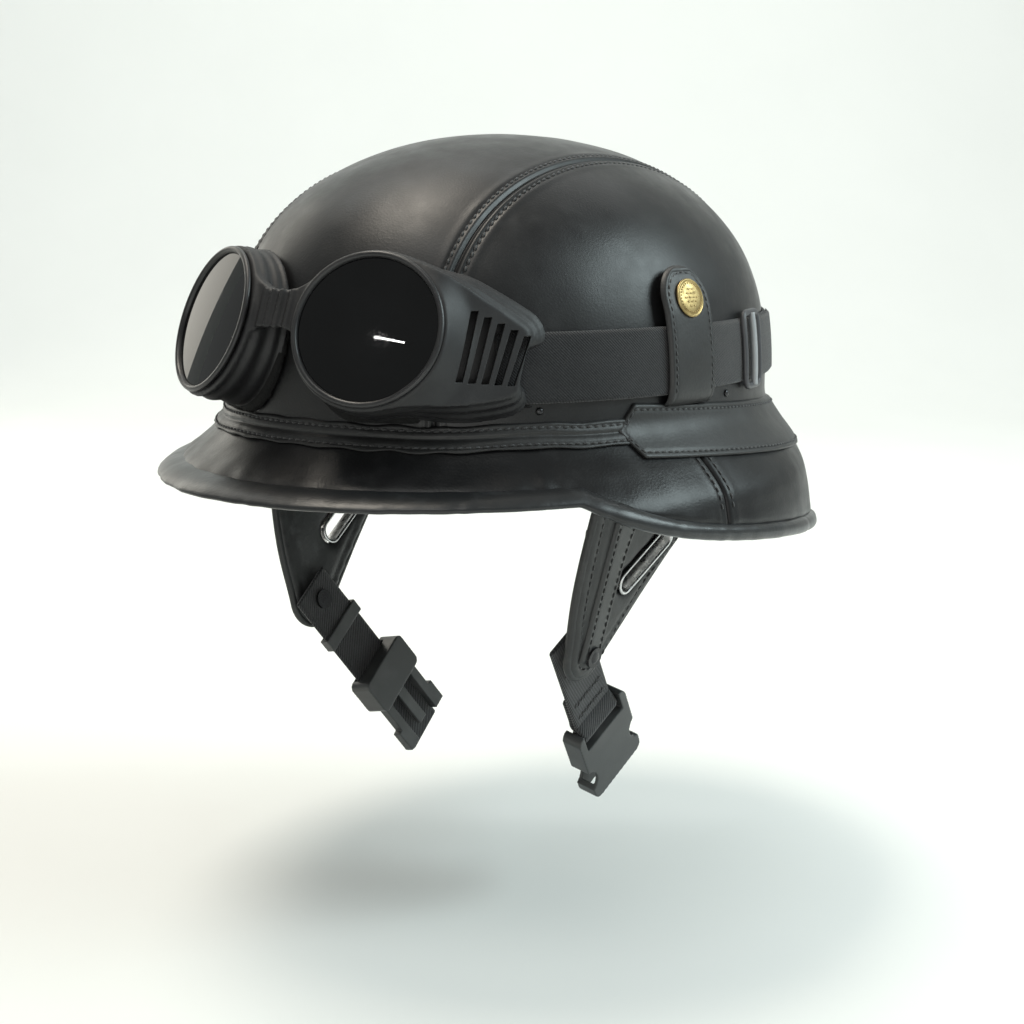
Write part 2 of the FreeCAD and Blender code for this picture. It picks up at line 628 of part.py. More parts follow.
def make_female(centre_x):
    """Socket half of the buckle, its bar at the origin end and its mouth facing down."""
    half_w, half_t = BUCKLE_WIDTH / 2, BUCKLE_THICK / 2
    top, mouth = -WEB_DROP + BUCKLE_HEAD, -WEB_DROP - BUCKLE_LENGTH
    body = box(centre_x - half_t, centre_x + half_t, -half_w, half_w, mouth, top)
    body = rounded(body, BUCKLE_ROUND)
    slot = WEB_WIDTH / 2 + SLOT_CLEAR
    window = -WEB_DROP - BAR_WINDOW
    body = body.cut(box(centre_x - FAR, centre_x + FAR, -slot, slot, window, top + 1.0))
    inner = half_t - BUCKLE_WALL
    side = half_w - BUCKLE_SIDE
    body = body.cut(box(centre_x - inner, centre_x + inner, -side, side, mouth - 1, window - BAR_WEB))
    for sign in (-1, 1):
        at = V(centre_x - FAR / 2, sign * (half_w + 2), mouth + RELEASE_BACK)
        body = body.cut(Part.makeCylinder(RELEASE_RADIUS, FAR, at, V(1, 0, 0)))
    bar = Part.makeCylinder(BAR_RADIUS, 2 * slot + 2, V(centre_x, -slot - 1, -WEB_DROP), V(0, 1, 0))
    return body.fuse(bar)


def make_loop(centre_x):
    """Webbing sewn back on itself round the buckle's bar."""
    inner = BAR_RADIUS + PIVOT_CLEAR
    half = WEB_WIDTH / 2
    ring = Part.makeCylinder(inner + WEB_THICK, WEB_WIDTH, V(centre_x, -half, -WEB_DROP), V(0, 1, 0))
    neck_top = -WEB_DROP + LOOP_NECK
    neck = box(centre_x - WEB_THICK, centre_x + WEB_THICK, -half, half, -WEB_DROP, neck_top)
    hole = Part.makeCylinder(inner, WEB_WIDTH + 2, V(centre_x, -half - 1, -WEB_DROP), V(0, 1, 0))
    return ring.fuse(neck).cut(hole)


def make_male(centre_x):
    """Plug half: frame the webbing slides through, guide tongue and two sprung prongs."""
    half_w, half_t = BUCKLE_WIDTH / 2, BUCKLE_THICK / 2
    plane = centre_x - PLUG_OFFSET
    top, foot = -WEB_DROP + PLUG_HEAD, -WEB_DROP - PLUG_FOOT
    gap = WEB_THICK / 2 + THREAD_CLEAR
    body = rounded(box(plane - half_t, centre_x + gap + PLUG_SKIN, -half_w, half_w, foot, top), PLUG_ROUND)
    slot = WEB_WIDTH / 2 + SLOT_CLEAR
    body = body.cut(box(centre_x - gap, centre_x + gap, -slot, slot, foot - 1, top + 1))
    for middle in (foot + PLUG_FOOT / 2, top - PLUG_FOOT / 2):
        low, high = middle - PLUG_FOOT / 5, middle + PLUG_FOOT / 5
        body = body.cut(box(centre_x - gap, centre_x + FAR, -slot, slot, low, high))
    tip = foot - PRONG_LENGTH
    half = TONGUE_THICK / 2
    body = body.fuse(box(plane - half, plane + half, -TONGUE_HALF, TONGUE_HALF, tip + 3, foot + 1))
    root = V(plane, PRONG_OUT + PRONG_WIDTH / 2, foot - THREAD_CLEAR)
    thick = V(PRONG_THICK / 2, 0, 0)
    x0, x1 = plane - thick.x, plane + thick.x
    edge = PRONG_OUT + PRONG_WIDTH
    prong = box(x0, x1, PRONG_OUT, edge, tip, root.z)
    prong = prong.fuse(box(x0, x1, PRONG_OUT, edge + PRONG_BARB, tip, tip + BARB_LENGTH))
    prong = prong.fuse(Part.makeCylinder(PRONG_PIN, PRONG_THICK, root - thick, V(1, 0, 0)))
    hole = Part.makeCylinder(PRONG_PIN + PIVOT_CLEAR, PRONG_THICK + 0.4, root - thick * 1.08, V(1, 0, 0))
    other = hole.mirror(V(0, 0, 0), V(0, 1, 0))
    return body.cut(hole).cut(other), prong, prong.mirror(V(0, 0, 0), V(0, 1, 0))


def make_chin_straps():
    """Webbing on both sides, the socket on the left and the adjustable plug on the right."""
    strap, centre_x = webbing(WEB_DROP - LOOP_NECK / 2)
    save("chin_webbing_left", swing(strap.fuse(make_loop(centre_x))))
    save("buckle_socket", swing(make_female(centre_x)))
    tail = webbing(WEB_DROP + ADJUST_TRAVEL + TAIL_LENGTH)[0]
    save("chin_webbing_right", flip(swing(tail)))
    thick, half = WEB_THICK / 2, WEB_WIDTH / 2
    high = KEEPER_LOW + KEEPER_LENGTH
    keeper = box(centre_x - thick - KEEPER_WALL, centre_x + thick + KEEPER_WALL,
                 -half - KEEPER_WALL, half + KEEPER_WALL, KEEPER_LOW, high)
    inside = box(centre_x - thick, centre_x + thick, -half, half, KEEPER_LOW - 1, high + 1)
    save("webbing_keeper", flip(swing(keeper.cut(inside))))
    body, front, rear = make_male(centre_x)
    save("buckle_plug", flip(swing(body)))
    save("plug_prong_rear", flip(swing(front)))
    save("plug_prong_front", flip(swing(rear)))


def make_rivets():
    """Four capped rivets that hold the chin strap anchors in the shell."""
    rivets = []
    for y, z in (ANCHOR_FRONT, ANCHOR_REAR):
        x = crown_x(y, z)
        reach = CROWN_REAR if y > 0 else CROWN_FRONT
        out = V(x / CROWN_SIDE ** 2, y / reach ** 2, 0).normalize()
        head = Part.makeCylinder(ANCHOR_RADIUS, ANCHOR_THICK + SEATING, V(x, y, z), out)
        rivets.append(head.cut(form(0.0)))
    save("anchor_rivets", both(Part.makeCompound(rivets)))


def save(name, shape):
    """Write one piece in the helmet's own frame, origin at the head seat."""
    placed = shape.copy()
    placed.translate(V(0, 0, -SEAT_DROP))
    placed.exportStep("parts/" + name + ".step")
    print(name, len(placed.Solids), round(placed.Volume / 1000, 2), placed.isValid())


os.makedirs("parts", exist_ok=True)
make_shell()
make_trim()
make_liner()
make_strap()
make_goggles()
make_flaps()
make_chin_straps()
make_rivets()
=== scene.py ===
import json
import math

import bmesh
import bpy
import numpy as np
from mathutils import Matrix, Vector

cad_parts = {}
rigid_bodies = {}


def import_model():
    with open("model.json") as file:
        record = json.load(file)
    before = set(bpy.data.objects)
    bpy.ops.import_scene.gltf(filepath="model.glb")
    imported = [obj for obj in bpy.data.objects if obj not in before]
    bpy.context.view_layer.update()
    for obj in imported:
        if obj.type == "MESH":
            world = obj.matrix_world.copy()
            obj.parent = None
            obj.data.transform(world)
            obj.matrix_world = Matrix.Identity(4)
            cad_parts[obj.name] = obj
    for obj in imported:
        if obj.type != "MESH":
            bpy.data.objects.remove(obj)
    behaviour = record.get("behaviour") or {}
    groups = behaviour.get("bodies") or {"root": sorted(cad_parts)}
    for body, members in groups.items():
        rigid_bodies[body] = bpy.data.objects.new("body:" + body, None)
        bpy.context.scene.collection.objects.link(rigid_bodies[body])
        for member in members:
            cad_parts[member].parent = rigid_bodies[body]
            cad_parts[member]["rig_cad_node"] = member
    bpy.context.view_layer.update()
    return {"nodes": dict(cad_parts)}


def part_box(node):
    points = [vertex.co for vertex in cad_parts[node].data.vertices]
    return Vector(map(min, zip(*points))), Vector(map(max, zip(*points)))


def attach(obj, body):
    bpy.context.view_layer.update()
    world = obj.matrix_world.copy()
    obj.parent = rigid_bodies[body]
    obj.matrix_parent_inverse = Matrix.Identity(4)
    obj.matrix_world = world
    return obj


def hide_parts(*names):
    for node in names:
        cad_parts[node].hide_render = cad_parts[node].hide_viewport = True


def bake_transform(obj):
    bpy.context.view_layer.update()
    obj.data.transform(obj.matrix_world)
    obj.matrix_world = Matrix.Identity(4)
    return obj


# Leather-covered half helmet with strapped-on goggles. Sizes are millimetres from the
# seam between crown and brim; metres() takes them to the helmet's own frame.

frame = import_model()
nodes = frame["nodes"]

SEAM_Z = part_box("crown_panel_center")[0][2] * 1000
CROWN_FRONT, CROWN_REAR, CROWN_SIDE = 131.0, 141.0, 111.0
CROWN_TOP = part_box("crown_panel_center")[1][2] * 1000 - SEAM_Z
CROWN_BASE = 5.0
FULLNESS = 2.8
FLARE_Z = np.array([5.0, -1.0, -8.0, -16.0, -25.0, -36.0, -48.0, -60.0, -78.0])
FLARE_FRONT = np.array([0.0, 2.0, 9.0, 20.5, 36.0, 50.0, 58.0, 68.0, 80.0])
FLARE_REAR = np.array([0.0, 0.4, 1.6, 3.6, 6.0, 9.0, 12.0, 15.0, 19.0])
FLARE_SIDE = np.array([0.0, 1.5, 7.0, 15.0, 22.0, 24.8, 26.0, 27.8, 30.0])
NOTCH_Y = -92.0
VISOR_EDGE = -25.0
SKIRT_SLOPE, SKIRT_DROP, SKIRT_REACH = 0.10, 15.0, 27.0
RIM_HEIGHT = 6.6
PANEL_SEAM_X = 56.0
BRIM_SEAM_Y = -22.0
LEATHER = 1.4
BAND_TIP_Y, BAND_SHOULDER_Y, BAND_HALF, BAND_FALL = -55.0, -47.0, 10.5, 0.075
STRAP_LOW, STRAP_HIGH = 13.0, 40.0
TAB_Y, TAB_HALF, TAB_TOP = -18.0, 14.0, 64.0
SNAP_Z = 51.0
SLIDER_Y = 37.0
LENS_CENTRE = np.array([42.0, -135.0, 42.5])
LENS_YAW, LENS_TILT, LENS_RADIUS = math.radians(21), math.radians(20), 29.0
WING_TIP = (88.5, -90.8, 0.0)
FACE_DEPTH, RIM_RADIUS, CREST_RADIUS, FOOT_GAP, SKIN = 1.4, 31.4, 32.2, 3.4, 1.9
FOLD_ROUNDING = 80.0
FLAP_X, FLAP_TOP, FLAP_LEAN, FLAP_THICK = 97.8, -7.0, math.radians(12), 7.0
PIVOT_Y, PIVOT_Z = -44.0, -92.0
SLOT_ENDS = ((-26.0, -62.0), (-2.0, -46.0))
SLOT_CUT = 5.1
WEB_HALF, WEB_THICK, WEB_DROP, WEB_SWING = 12.5, 2.0, 50.0, math.radians(36)
WEB_X = -FLAP_THICK / 2 - 1.6 - WEB_THICK / 2


# ---------------------------------------------------------------- camera, floor and light

def make_camera():
    """Camera low at the front left of the helmet, level with the brim."""
    spin, dip, shift_x, shift_z = math.radians(38), math.radians(6.9), 12.1, -113.0
    focal = 1800.0
    right = Vector((math.cos(spin), math.sin(spin), 0))
    ahead = Vector((-math.sin(spin) * math.cos(dip), math.cos(spin) * math.cos(dip), -math.sin(dip)))
    rise = right.cross(ahead)
    seam = Vector((0, 0, SEAM_Z / 1000))
    data = bpy.data.cameras.new("camera")
    data.sensor_width = 36.0
    data.lens = 36.0 * focal / 1024
    camera = bpy.data.objects.new("camera", data)
    bpy.context.scene.collection.objects.link(camera)
    camera.location = seam - ahead * 0.8205
    aim = ahead + right * (shift_x / focal) + rise * (shift_z / focal)
    camera.rotation_euler = aim.to_track_quat("-Z", "Y").to_euler()
    data.clip_start = 0.01
    bpy.context.scene.camera = camera


def area_light(name, place, aim, size, power, colour):
    """One soft lamp at a place, turned to a point of the helmet."""
    data = bpy.data.lights.new(name, "AREA")
    data.shape = "RECTANGLE"
    data.size, data.size_y = size
    data.energy = power
    data.color = colour
    lamp = bpy.data.objects.new(name, data)
    lamp.location = place
    lamp.rotation_euler = (Vector(aim) - Vector(place)).to_track_quat("-Z", "Y").to_euler()
    bpy.context.scene.collection.objects.link(lamp)


def make_stage():
    """Pale floor well below the hanging straps, running up into a plain backdrop."""
    low = min(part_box(n)[0][2] for n in nodes) - 0.045
    run = np.linspace(0, 1, 40)
    angle = run * math.pi / 2
    profile = [(-2.5, 0.0), (1.6, 0.0)]
    profile += [(1.6 + 0.8 * math.sin(a), 0.8 - 0.8 * math.cos(a)) for a in angle]
    profile += [(2.4, 3.0)]
    deep = np.array(profile)
    wide = np.array([-3.5, 3.5])
    spin = math.radians(38)
    right = np.array([math.cos(spin), math.sin(spin), 0])
    ahead = np.array([-math.sin(spin), math.cos(spin), 0])
    points = (wide[:, None, None] * right + deep[None, :, 0, None] * ahead
              + (deep[None, :, 1, None] + low) * np.array([0, 0, 1.0]))
    floor = surface("studio_floor", points * 1000, lift=False)
    floor.data.materials.append(plain_floor())


def make_lights():
    """Cool window on the right, warm panel overhead, pale wall on the left, washes for backdrop and floor."""
    area_light("window", (1.25, 0.75, 0.80), (0.05, 0, 0.02), (1.0, 0.8), 22, (0.80, 0.95, 0.97))
    area_light("overhead", (-0.38, -0.12, 1.4), (0, 0, 0), (0.7, 0.5), 13, (1.0, 0.92, 0.80))
    area_light("left_wall", (-1.7, 0.25, 0.45), (0, 0, 0), (0.7, 1.2), 5, (1.0, 0.95, 0.84))
    area_light("fill", (0.9, -1.2, -0.10), (0, 0, -0.1), (0.9, 0.5), 2.6, (1.0, 0.98, 0.95))
    area_light("strip", (0.05, -1.36, 0.70), LENS_CENTRE / 1000, (0.12, 0.006), 0.30, (1.0, 0.99, 0.95))
    area_light("wash", (-0.75, 0.95, 1.7), (-1.45, 1.9, 0.0), (2.6, 0.6), 21, (0.97, 1.0, 0.98))
    area_light("floor_wash", (0.35, -1.0, 2.2), (0.3, -0.6, -0.4), (1.4, 0.6), 10, (1.0, 0.99, 0.95))
    world = bpy.data.worlds.new("room")
    bpy.context.scene.world = world
    world.use_nodes = True
    back = world.node_tree.nodes["Background"]
    back.inputs["Color"].default_value = (0.93, 0.97, 0.95, 1)
    back.inputs["Strength"].default_value = 0.36
    bpy.context.scene.view_settings.view_transform = "Standard"


# ---------------------------------------------------------------- meshes

def metres(points):
    """Millimetres from the brim seam to metres from the head seat."""
    moved = np.asarray(points, float) + np.array([0, 0, SEAM_Z])
    return moved / 1000


def build(name, verts, faces, lift=True):
    """Smooth-shaded object at the origin from vertices and faces."""
    verts = metres(verts) if lift else np.asarray(verts, float) / 1000
    mesh = bpy.data.meshes.new(name)
    mesh.from_pydata(verts.reshape(-1, 3), [], np.asarray(faces).tolist())
    mesh.polygons.foreach_set("use_smooth", np.ones(len(mesh.polygons), bool))
    mesh.update()
    thing = bpy.data.objects.new(name, mesh)
    bpy.context.scene.collection.objects.link(thing)
    return thing


def grid_faces(rows, columns, wrap_rows=False, wrap_columns=False, start=0):
    """Quads between neighbours of a grid, running on round it where it wraps."""
    i = np.arange(rows if wrap_rows else rows - 1)
    j = np.arange(columns if wrap_columns else columns - 1)
    i, j = [a.ravel() for a in np.meshgrid(i, j, indexing="ij")]
    i1, j1 = (i + 1) % rows, (j + 1) % columns
    return start + np.stack([i * columns + j, i1 * columns + j, i1 * columns + j1, i * columns + j1], 1)


def add_uv(thing, u, v):
    """A UV map in millimetres from a value at each vertex."""
    mesh = thing.data
    index = np.zeros(len(mesh.loops), int)
    mesh.loops.foreach_get("vertex_index", index)
    layer = mesh.uv_layers.new(name="along")
    layer.data.foreach_set("uv", np.stack([u[index], v[index]], 1).ravel())


def tidy_normals(thing):
    """Merges doubled points and turns every face outwards."""
    work = bmesh.new()
    work.from_mesh(thing.data)
    bmesh.ops.remove_doubles(work, verts=work.verts, dist=1e-6)
    bmesh.ops.recalc_face_normals(work, faces=work.faces)
    work.to_mesh(thing.data)
    work.free()


def surface(name, points, lift=True):
    """Open sheet through a grid of points."""
    rows, columns = points.shape[:2]
    return build(name, points.reshape(-1, 3), grid_faces(rows, columns), lift)


def slab(name, top, under, wrap_rows=False, uv=None):
    """Closed piece between two grids of points, walled along every free edge."""
    rows, columns = top.shape[:2]
    ring = np.concatenate([top, under[:, ::-1]], axis=1)
    faces = grid_faces(rows, 2 * columns, wrap_rows, True)
    if not wrap_rows:
        for row in (0, rows - 1):
            a = row * 2 * columns + np.arange(columns - 1)
            b = row * 2 * columns + 2 * columns - 1 - np.arange(columns - 1)
            faces = np.concatenate([faces, np.stack([a, a + 1, b - 1, b], 1)])
    thing = build(name, ring.reshape(-1, 3), faces)
    if uv is not None:
        u, v = [np.concatenate([a, a[:, ::-1]], axis=1).ravel() for a in uv]
        add_uv(thing, u, v)
    tidy_normals(thing)
    return thing


def tube(name, path, section, side, out, closed=False):
    """Profile of (side, out) points carried along a path, one frame of directions per point."""
    points = (path[:, None] + section[None, :, 0, None] * side[:, None]
              + section[None, :, 1, None] * out[:, None])
    rows, columns = points.shape[:2]
    faces = grid_faces(rows, columns, closed, True).tolist()
    if not closed:
        faces.append(list(range(columns)))
        faces.append(list(range((rows - 1) * columns, rows * columns)))
    verts = points.reshape(-1, 3)
    mesh = bpy.data.meshes.new(name)
    mesh.from_pydata(metres(verts), [], faces)
    mesh.polygons.foreach_set("use_smooth", np.ones(len(mesh.polygons), bool))
    thing = bpy.data.objects.new(name, mesh)
    bpy.context.scene.collection.objects.link(thing)
    length = np.concatenate([[0], np.cumsum(np.linalg.norm(np.diff(path, axis=0), axis=1))])
    around = np.concatenate([[0], np.cumsum(np.linalg.norm(np.diff(section, axis=0), axis=1))])
    u = np.repeat(length, columns)
    add_uv(thing, u, np.tile(around, rows))
    tidy_normals(thing)
    return thing


def unit(v):
    """Vectors scaled to length one."""
    return v / np.maximum(np.linalg.norm(v, axis=-1, keepdims=True), 1e-9)


def along_path(path, spacing):
    """Points spaced evenly along a path, with the path's direction at each."""
    step = np.linalg.norm(np.diff(path, axis=0), axis=1)
    length = np.concatenate([[0], np.cumsum(step)])
    count = max(2, int(length[-1] / spacing))
    s = (np.arange(count) + 0.5) * length[-1] / count
    points = np.stack([np.interp(s, length, path[:, k]) for k in range(3)], 1)
    ahead = np.stack([np.interp(s + 0.3, length, path[:, k]) for k in range(3)], 1)
    behind = np.stack([np.interp(s - 0.3, length, path[:, k]) for k in range(3)], 1)
    return points, unit(ahead - behind), s


def thread(name, rows, pitch=3.4, stitch=2.5, radius=0.42, sink=0.0, slant=0.12):
    """Rows of stitches: short capsules along each path, half sunk, each turned a little.

    rows holds pairs of a path and the outward direction at each of its points."""
    ends = np.array([-1.0, -0.82, -0.35, 0.35, 0.82, 1.0])
    fat = np.array([0.15, 0.72, 1.0, 1.0, 0.72, 0.15])
    turn = np.linspace(0, 2 * math.pi, 6, endpoint=False)
    all_verts, all_faces, start = [], [], 0
    for path, outward in rows:
        points, ahead, s = along_path(path, pitch)
        step = np.linalg.norm(np.diff(path, axis=0), axis=1)
        length = np.concatenate([[0], np.cumsum(step)])
        up = unit(np.stack([np.interp(s, length, outward[:, k]) for k in range(3)], 1))
        side = unit(np.cross(up, ahead))
        ahead = unit(ahead + side * slant)
        side = np.cross(up, ahead)
        bow = (1 - ends ** 2) * radius * 0.7
        centre = (points[:, None] + ends[None, :, None] * (stitch / 2) * ahead[:, None]
                  + (bow[None, :, None] - sink) * up[:, None])
        ring = (np.cos(turn)[None, None, :, None] * side[:, None, None]
                + np.sin(turn)[None, None, :, None] * up[:, None, None])
        verts = centre[:, :, None] + ring * (fat * radius)[None, :, None, None]
        one = grid_faces(len(ends), len(turn), False, True)
        count = len(points)
        size = len(ends) * len(turn)
        faces = (one[None] + (start + np.arange(count) * size)[:, None, None]).reshape(-1, 4)
        all_verts.append(verts.reshape(-1, 3))
        all_faces.append(faces)
        start += count * size
    thing = build(name, np.concatenate(all_verts), np.concatenate(all_faces))
    tidy_normals(thing)
    return thing


def value_noise(points, scale, seed):
    """Smooth noise from -1 to 1: random values on a lattice of cells, blended between."""
    rng = np.random.default_rng(seed)
    lattice = rng.uniform(-1, 1, (64, 64, 64))
    p = points / scale
    cell = np.floor(p).astype(int)
    f = p - cell
    f = f * f * (3 - 2 * f)
    total = 0.0
    for corner in np.ndindex(2, 2, 2):
        weight = 1.0
        for k in range(3):
            weight = weight * (f[..., k] if corner[k] else 1 - f[..., k])
        index = (cell + np.array(corner)) % 64
        total = total + weight * lattice[index[..., 0], index[..., 1], index[..., 2]]
    return total


def groove(distance, depth, width):
    """Dip of a given depth that fades over a width from a line."""
    return -depth * np.exp(-(distance / width) ** 2)


# ---------------------------------------------------------------- the helmet's form

def flare_slope(values):
    """How fast the brim stands out as it falls, at each station."""
    rise = np.gradient(values, -FLARE_Z)
    rise[0] = 0.0
    return rise


def hermite(z, values):
    """Smooth curve through the stations of the flare, read at height z."""
    slope = flare_slope(values)
    down = -np.clip(z, FLARE_Z[-1], FLARE_Z[0])
    i = np.clip(np.searchsorted(-FLARE_Z, down) - 1, 0, len(FLARE_Z) - 2)
    gap = -FLARE_Z[i + 1] + FLARE_Z[i]
    t = (down + FLARE_Z[i]) / gap
    a, b = values[i], values[i + 1]
    curve = ((2 * t ** 3 - 3 * t ** 2 + 1) * a + (t ** 3 - 2 * t ** 2 + t) * gap * slope[i]
             + (-2 * t ** 3 + 3 * t ** 2) * b + (t ** 3 - t ** 2) * gap * slope[i + 1])
    return curve, np.interp(down, -FLARE_Z, slope)


def extents(z, out):
    """Half lengths of the level section at a height: to the front, to the rear, to the side.

    Above the base the section shrinks as a superellipse; below it the flare stands out."""
    z = np.asarray(z, float)
    high = np.clip((z - CROWN_BASE) / (CROWN_TOP - CROWN_BASE + out), 0, 1)
    shrink = np.sqrt(1 - high ** FULLNESS)
    sizes = []
    for base, flare in ((CROWN_FRONT, FLARE_FRONT), (CROWN_REAR, FLARE_REAR), (CROWN_SIDE, FLARE_SIDE)):
        add, slope = hermite(z, flare)
        sizes.append(np.where(z >= CROWN_BASE, (base + out) * shrink, base + add + out * np.hypot(1, slope)))
    return sizes


def at(theta, z, out=0.0):
    """Point of the form at a plan angle (0 is the front, a quarter turn the wearer's left)."""
    theta, z, out = np.broadcast_arrays(theta, z, out)
    front, rear, side = extents(z, out)
    length = np.where(np.cos(theta) > 0, front, rear)
    return np.stack([side * np.sin(theta), -length * np.cos(theta), z], -1)


def flank(y, z, out=0.0):
    """Point of the wearer's left side of the form at a station and height."""
    y, z, out = np.broadcast_arrays(np.asarray(y, float), z, out)
    front, rear, side = extents(z, out)
    length = np.where(y < 0, front, rear)
    return np.stack([side * np.sqrt(np.clip(1 - (y / length) ** 2, 0, 1)), y, z], -1)


def plan_angle(y, z=0.0, out=0.0):
    """Plan angle on the left side whose section passes a station."""
    front, rear = extents(np.asarray(z, float), out)[:2]
    return np.arccos(np.clip(-y / np.where(np.asarray(y) < 0, front, rear), -1, 1))


def edge_height(y):
    """Lowest edge of the brim: level visor, a notch, then a skirt falling to the nape."""
    run = np.maximum(0.0, y - NOTCH_Y)
    return VISOR_EDGE - SKIRT_SLOPE * run - SKIRT_DROP * (1 - np.exp(-run / SKIRT_REACH))


def edge_at(theta, lift=0.0, out=0.0):
    """Height of the brim's edge, raised by lift, at a plan angle."""
    z = np.full(np.shape(theta), -40.0)
    for _ in range(30):
        z = 0.5 * z + 0.5 * (edge_height(at(theta, z, out)[..., 1]) + lift)
    return z


def flip(points):
    """The same points on the wearer's right."""
    return points * np.array([-1.0, 1, 1])


def outward(points):
    """Outward direction of the form near some points, from its level section and slope."""
    up = points + np.array([0, 0, 1.0])
    y, z = points[..., 1], points[..., 2]
    front, rear, side = extents(z, 0)
    length = np.where(y < 0, front, rear)
    flat = np.stack([points[..., 0] / side ** 2, y / length ** 2], -1)
    front_up, rear_up, side_up = extents(up[..., 2], 0)
    length_up = np.where(y < 0, front_up, rear_up)
    here = (points[..., 0] / side) ** 2 + (y / length) ** 2
    above = (points[..., 0] / side_up) ** 2 + (y / length_up) ** 2
    return unit(np.concatenate([flat, ((above - here) / 2)[..., None]], -1))


# ---------------------------------------------------------------- leather shell

def seam_relief(distance):
    """Leather near a sewn seam: it folds into the seam and is pulled down under the stitches."""
    return (groove(distance, 1.0, 1.1) + groove(distance - 3.7, 0.28, 0.8)
            + 0.30 * np.exp(-((distance - 1.9) / 1.1) ** 2) + 0.22 * np.exp(-((distance - 5.6) / 1.8) ** 2))


def crown_arc(count):
    """Even steps along the crown's lengthwise arc: |Y|^2 + q^2.8 = 1, from the front base to the rear."""
    angle = np.linspace(-math.pi / 2, math.pi / 2, 6001)
    y = np.sin(angle)
    q = np.maximum(np.cos(angle), 0) ** (2 / FULLNESS)
    height = CROWN_TOP - CROWN_BASE
    length = np.concatenate([[0], np.cumsum(np.hypot(np.diff(y) * CROWN_FRONT, np.diff(q) * height))])
    s = np.linspace(0, length[-1], count)
    return np.interp(s, length, y), np.interp(s, length, q)


def crown_point(x, y_share, q, out):
    """Crown point on a lengthwise slice at x: Y share of the slice's length, q of its height."""
    side = CROWN_SIDE + out
    rest = np.sqrt(1 - (x / side) ** 2)
    length = np.where(y_share < 0, CROWN_FRONT, CROWN_REAR) + out
    y = y_share * rest * length
    z = CROWN_BASE + (CROWN_TOP - CROWN_BASE + out) * q * rest ** (2 / FULLNESS)
    return np.stack([np.broadcast_to(x, y.shape), y, z], -1)


def leather_swell(points, distance):
    """Slow unevenness of leather stretched over a hard shell, and the relief of a seam."""
    slow = 0.22 * value_noise(points, 34.0, 3) + 0.10 * value_noise(points, 13.0, 5)
    return slow * np.clip(distance / 9.0, 0.2, 1) + seam_relief(distance)


def shifted(points, normal, amount):
    """Points moved along their outward direction."""
    return points + normal * amount[..., None]


def grid_normal(points, toward=(0, 0, 0)):
    """Normals of a grid of points, on the side away from a point."""
    along = np.gradient(points, axis=0)
    across = np.gradient(points, axis=1)
    normal = unit(np.cross(along, across))
    away = points - np.array(toward)
    return normal * np.sign((normal * away).sum(-1, keepdims=True))


def crown_center():
    """Middle leather panel from the brow to the nape, between the two lengthwise seams."""
    y_share, q = crown_arc(300)
    x = PANEL_SEAM_X * np.sin(np.linspace(-1, 1, 121) * math.pi / 2) * 0.999
    x = np.sign(x) * np.minimum(np.abs(x), PANEL_SEAM_X)
    x, y_share = np.meshgrid(x, y_share)
    q = np.broadcast_to(q[:, None], x.shape)
    top = crown_point(x, y_share, q, 0.0)
    foot = top[[0, -1]].copy()
    foot[..., 2] = 0.0
    foot[..., 1] *= 1.004
    top = np.concatenate([foot[:1], top, foot[1:]])
    normal = grid_normal(top)
    tilt = np.sqrt(np.maximum(1 - normal[..., 0] ** 2, 0.05))
    distance = (PANEL_SEAM_X - np.abs(top[..., 0])) / tilt
    piece = slab("crown_leather_center", shifted(top, normal, leather_swell(top, distance)),
                 shifted(top, normal, np.full(top.shape[:2], -LEATHER)))
    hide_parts("crown_panel_center")
    return piece


def side_panel(mirror):
    """Side leather panel from a lengthwise seam down to the brim seam."""
    seam = PANEL_SEAM_X + 0.2
    corner = math.asin(seam / CROWN_SIDE)
    theta = np.linspace(corner, math.pi - corner, 260)[:, None]
    lean = np.arcsin(np.clip(seam / (CROWN_SIDE * np.sin(theta)), 0, 1))
    lean = lean + (math.pi / 2 - lean) * np.linspace(0, 1, 110)
    q = np.maximum(np.cos(lean), 0) ** (2 / FULLNESS)
    z = CROWN_BASE + (CROWN_TOP - CROWN_BASE) * q
    side = CROWN_SIDE * np.sin(lean) * np.sin(theta)
    reach = np.where(np.cos(theta) > 0, CROWN_FRONT, CROWN_REAR)
    top = np.stack([side, -reach * np.sin(lean) * np.cos(theta), z], -1)
    base = at(theta + np.zeros((1, 3)), np.array([[3.4, 1.7, 0.0]]))
    top = np.concatenate([top, base], axis=1)
    normal = unit(outward(top))
    tilt = np.sqrt(np.maximum(1 - normal[..., 0] ** 2, 0.05))
    distance = (top[..., 0] - seam) / tilt
    outer = shifted(top, normal, leather_swell(top, distance))
    inner = shifted(top, normal, np.full(top.shape[:2], -LEATHER))
    side_name = "right" if mirror else "left"
    if mirror:
        outer, inner = flip(outer), flip(inner)
    piece = slab("crown_leather_" + side_name, outer, inner)
    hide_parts("crown_panel_" + side_name)
    return piece


def crown_stitches():
    """Two rows of stitches along each crown seam, one in each panel."""
    y_share, q = crown_arc(400)
    keep = q > 0.05
    rows = []
    for gap in (-3.7, 3.7):
        seam = crown_point(np.full(keep.sum(), PANEL_SEAM_X), y_share[keep], q[keep], 0.0)
        normal = unit(outward(seam))
        tilt = np.sqrt(np.maximum(1 - normal[..., 0] ** 2, 0.05))
        x = PANEL_SEAM_X + 0.1 + gap * tilt
        row = crown_point(x, y_share[keep], q[keep], 0.0)
        normal = unit(outward(row))
        row = row - normal * 0.12
        rows.append((row, normal))
        rows.append((flip(row), flip(normal)))
    piece = thread("crown_stitching", rows)
    return piece


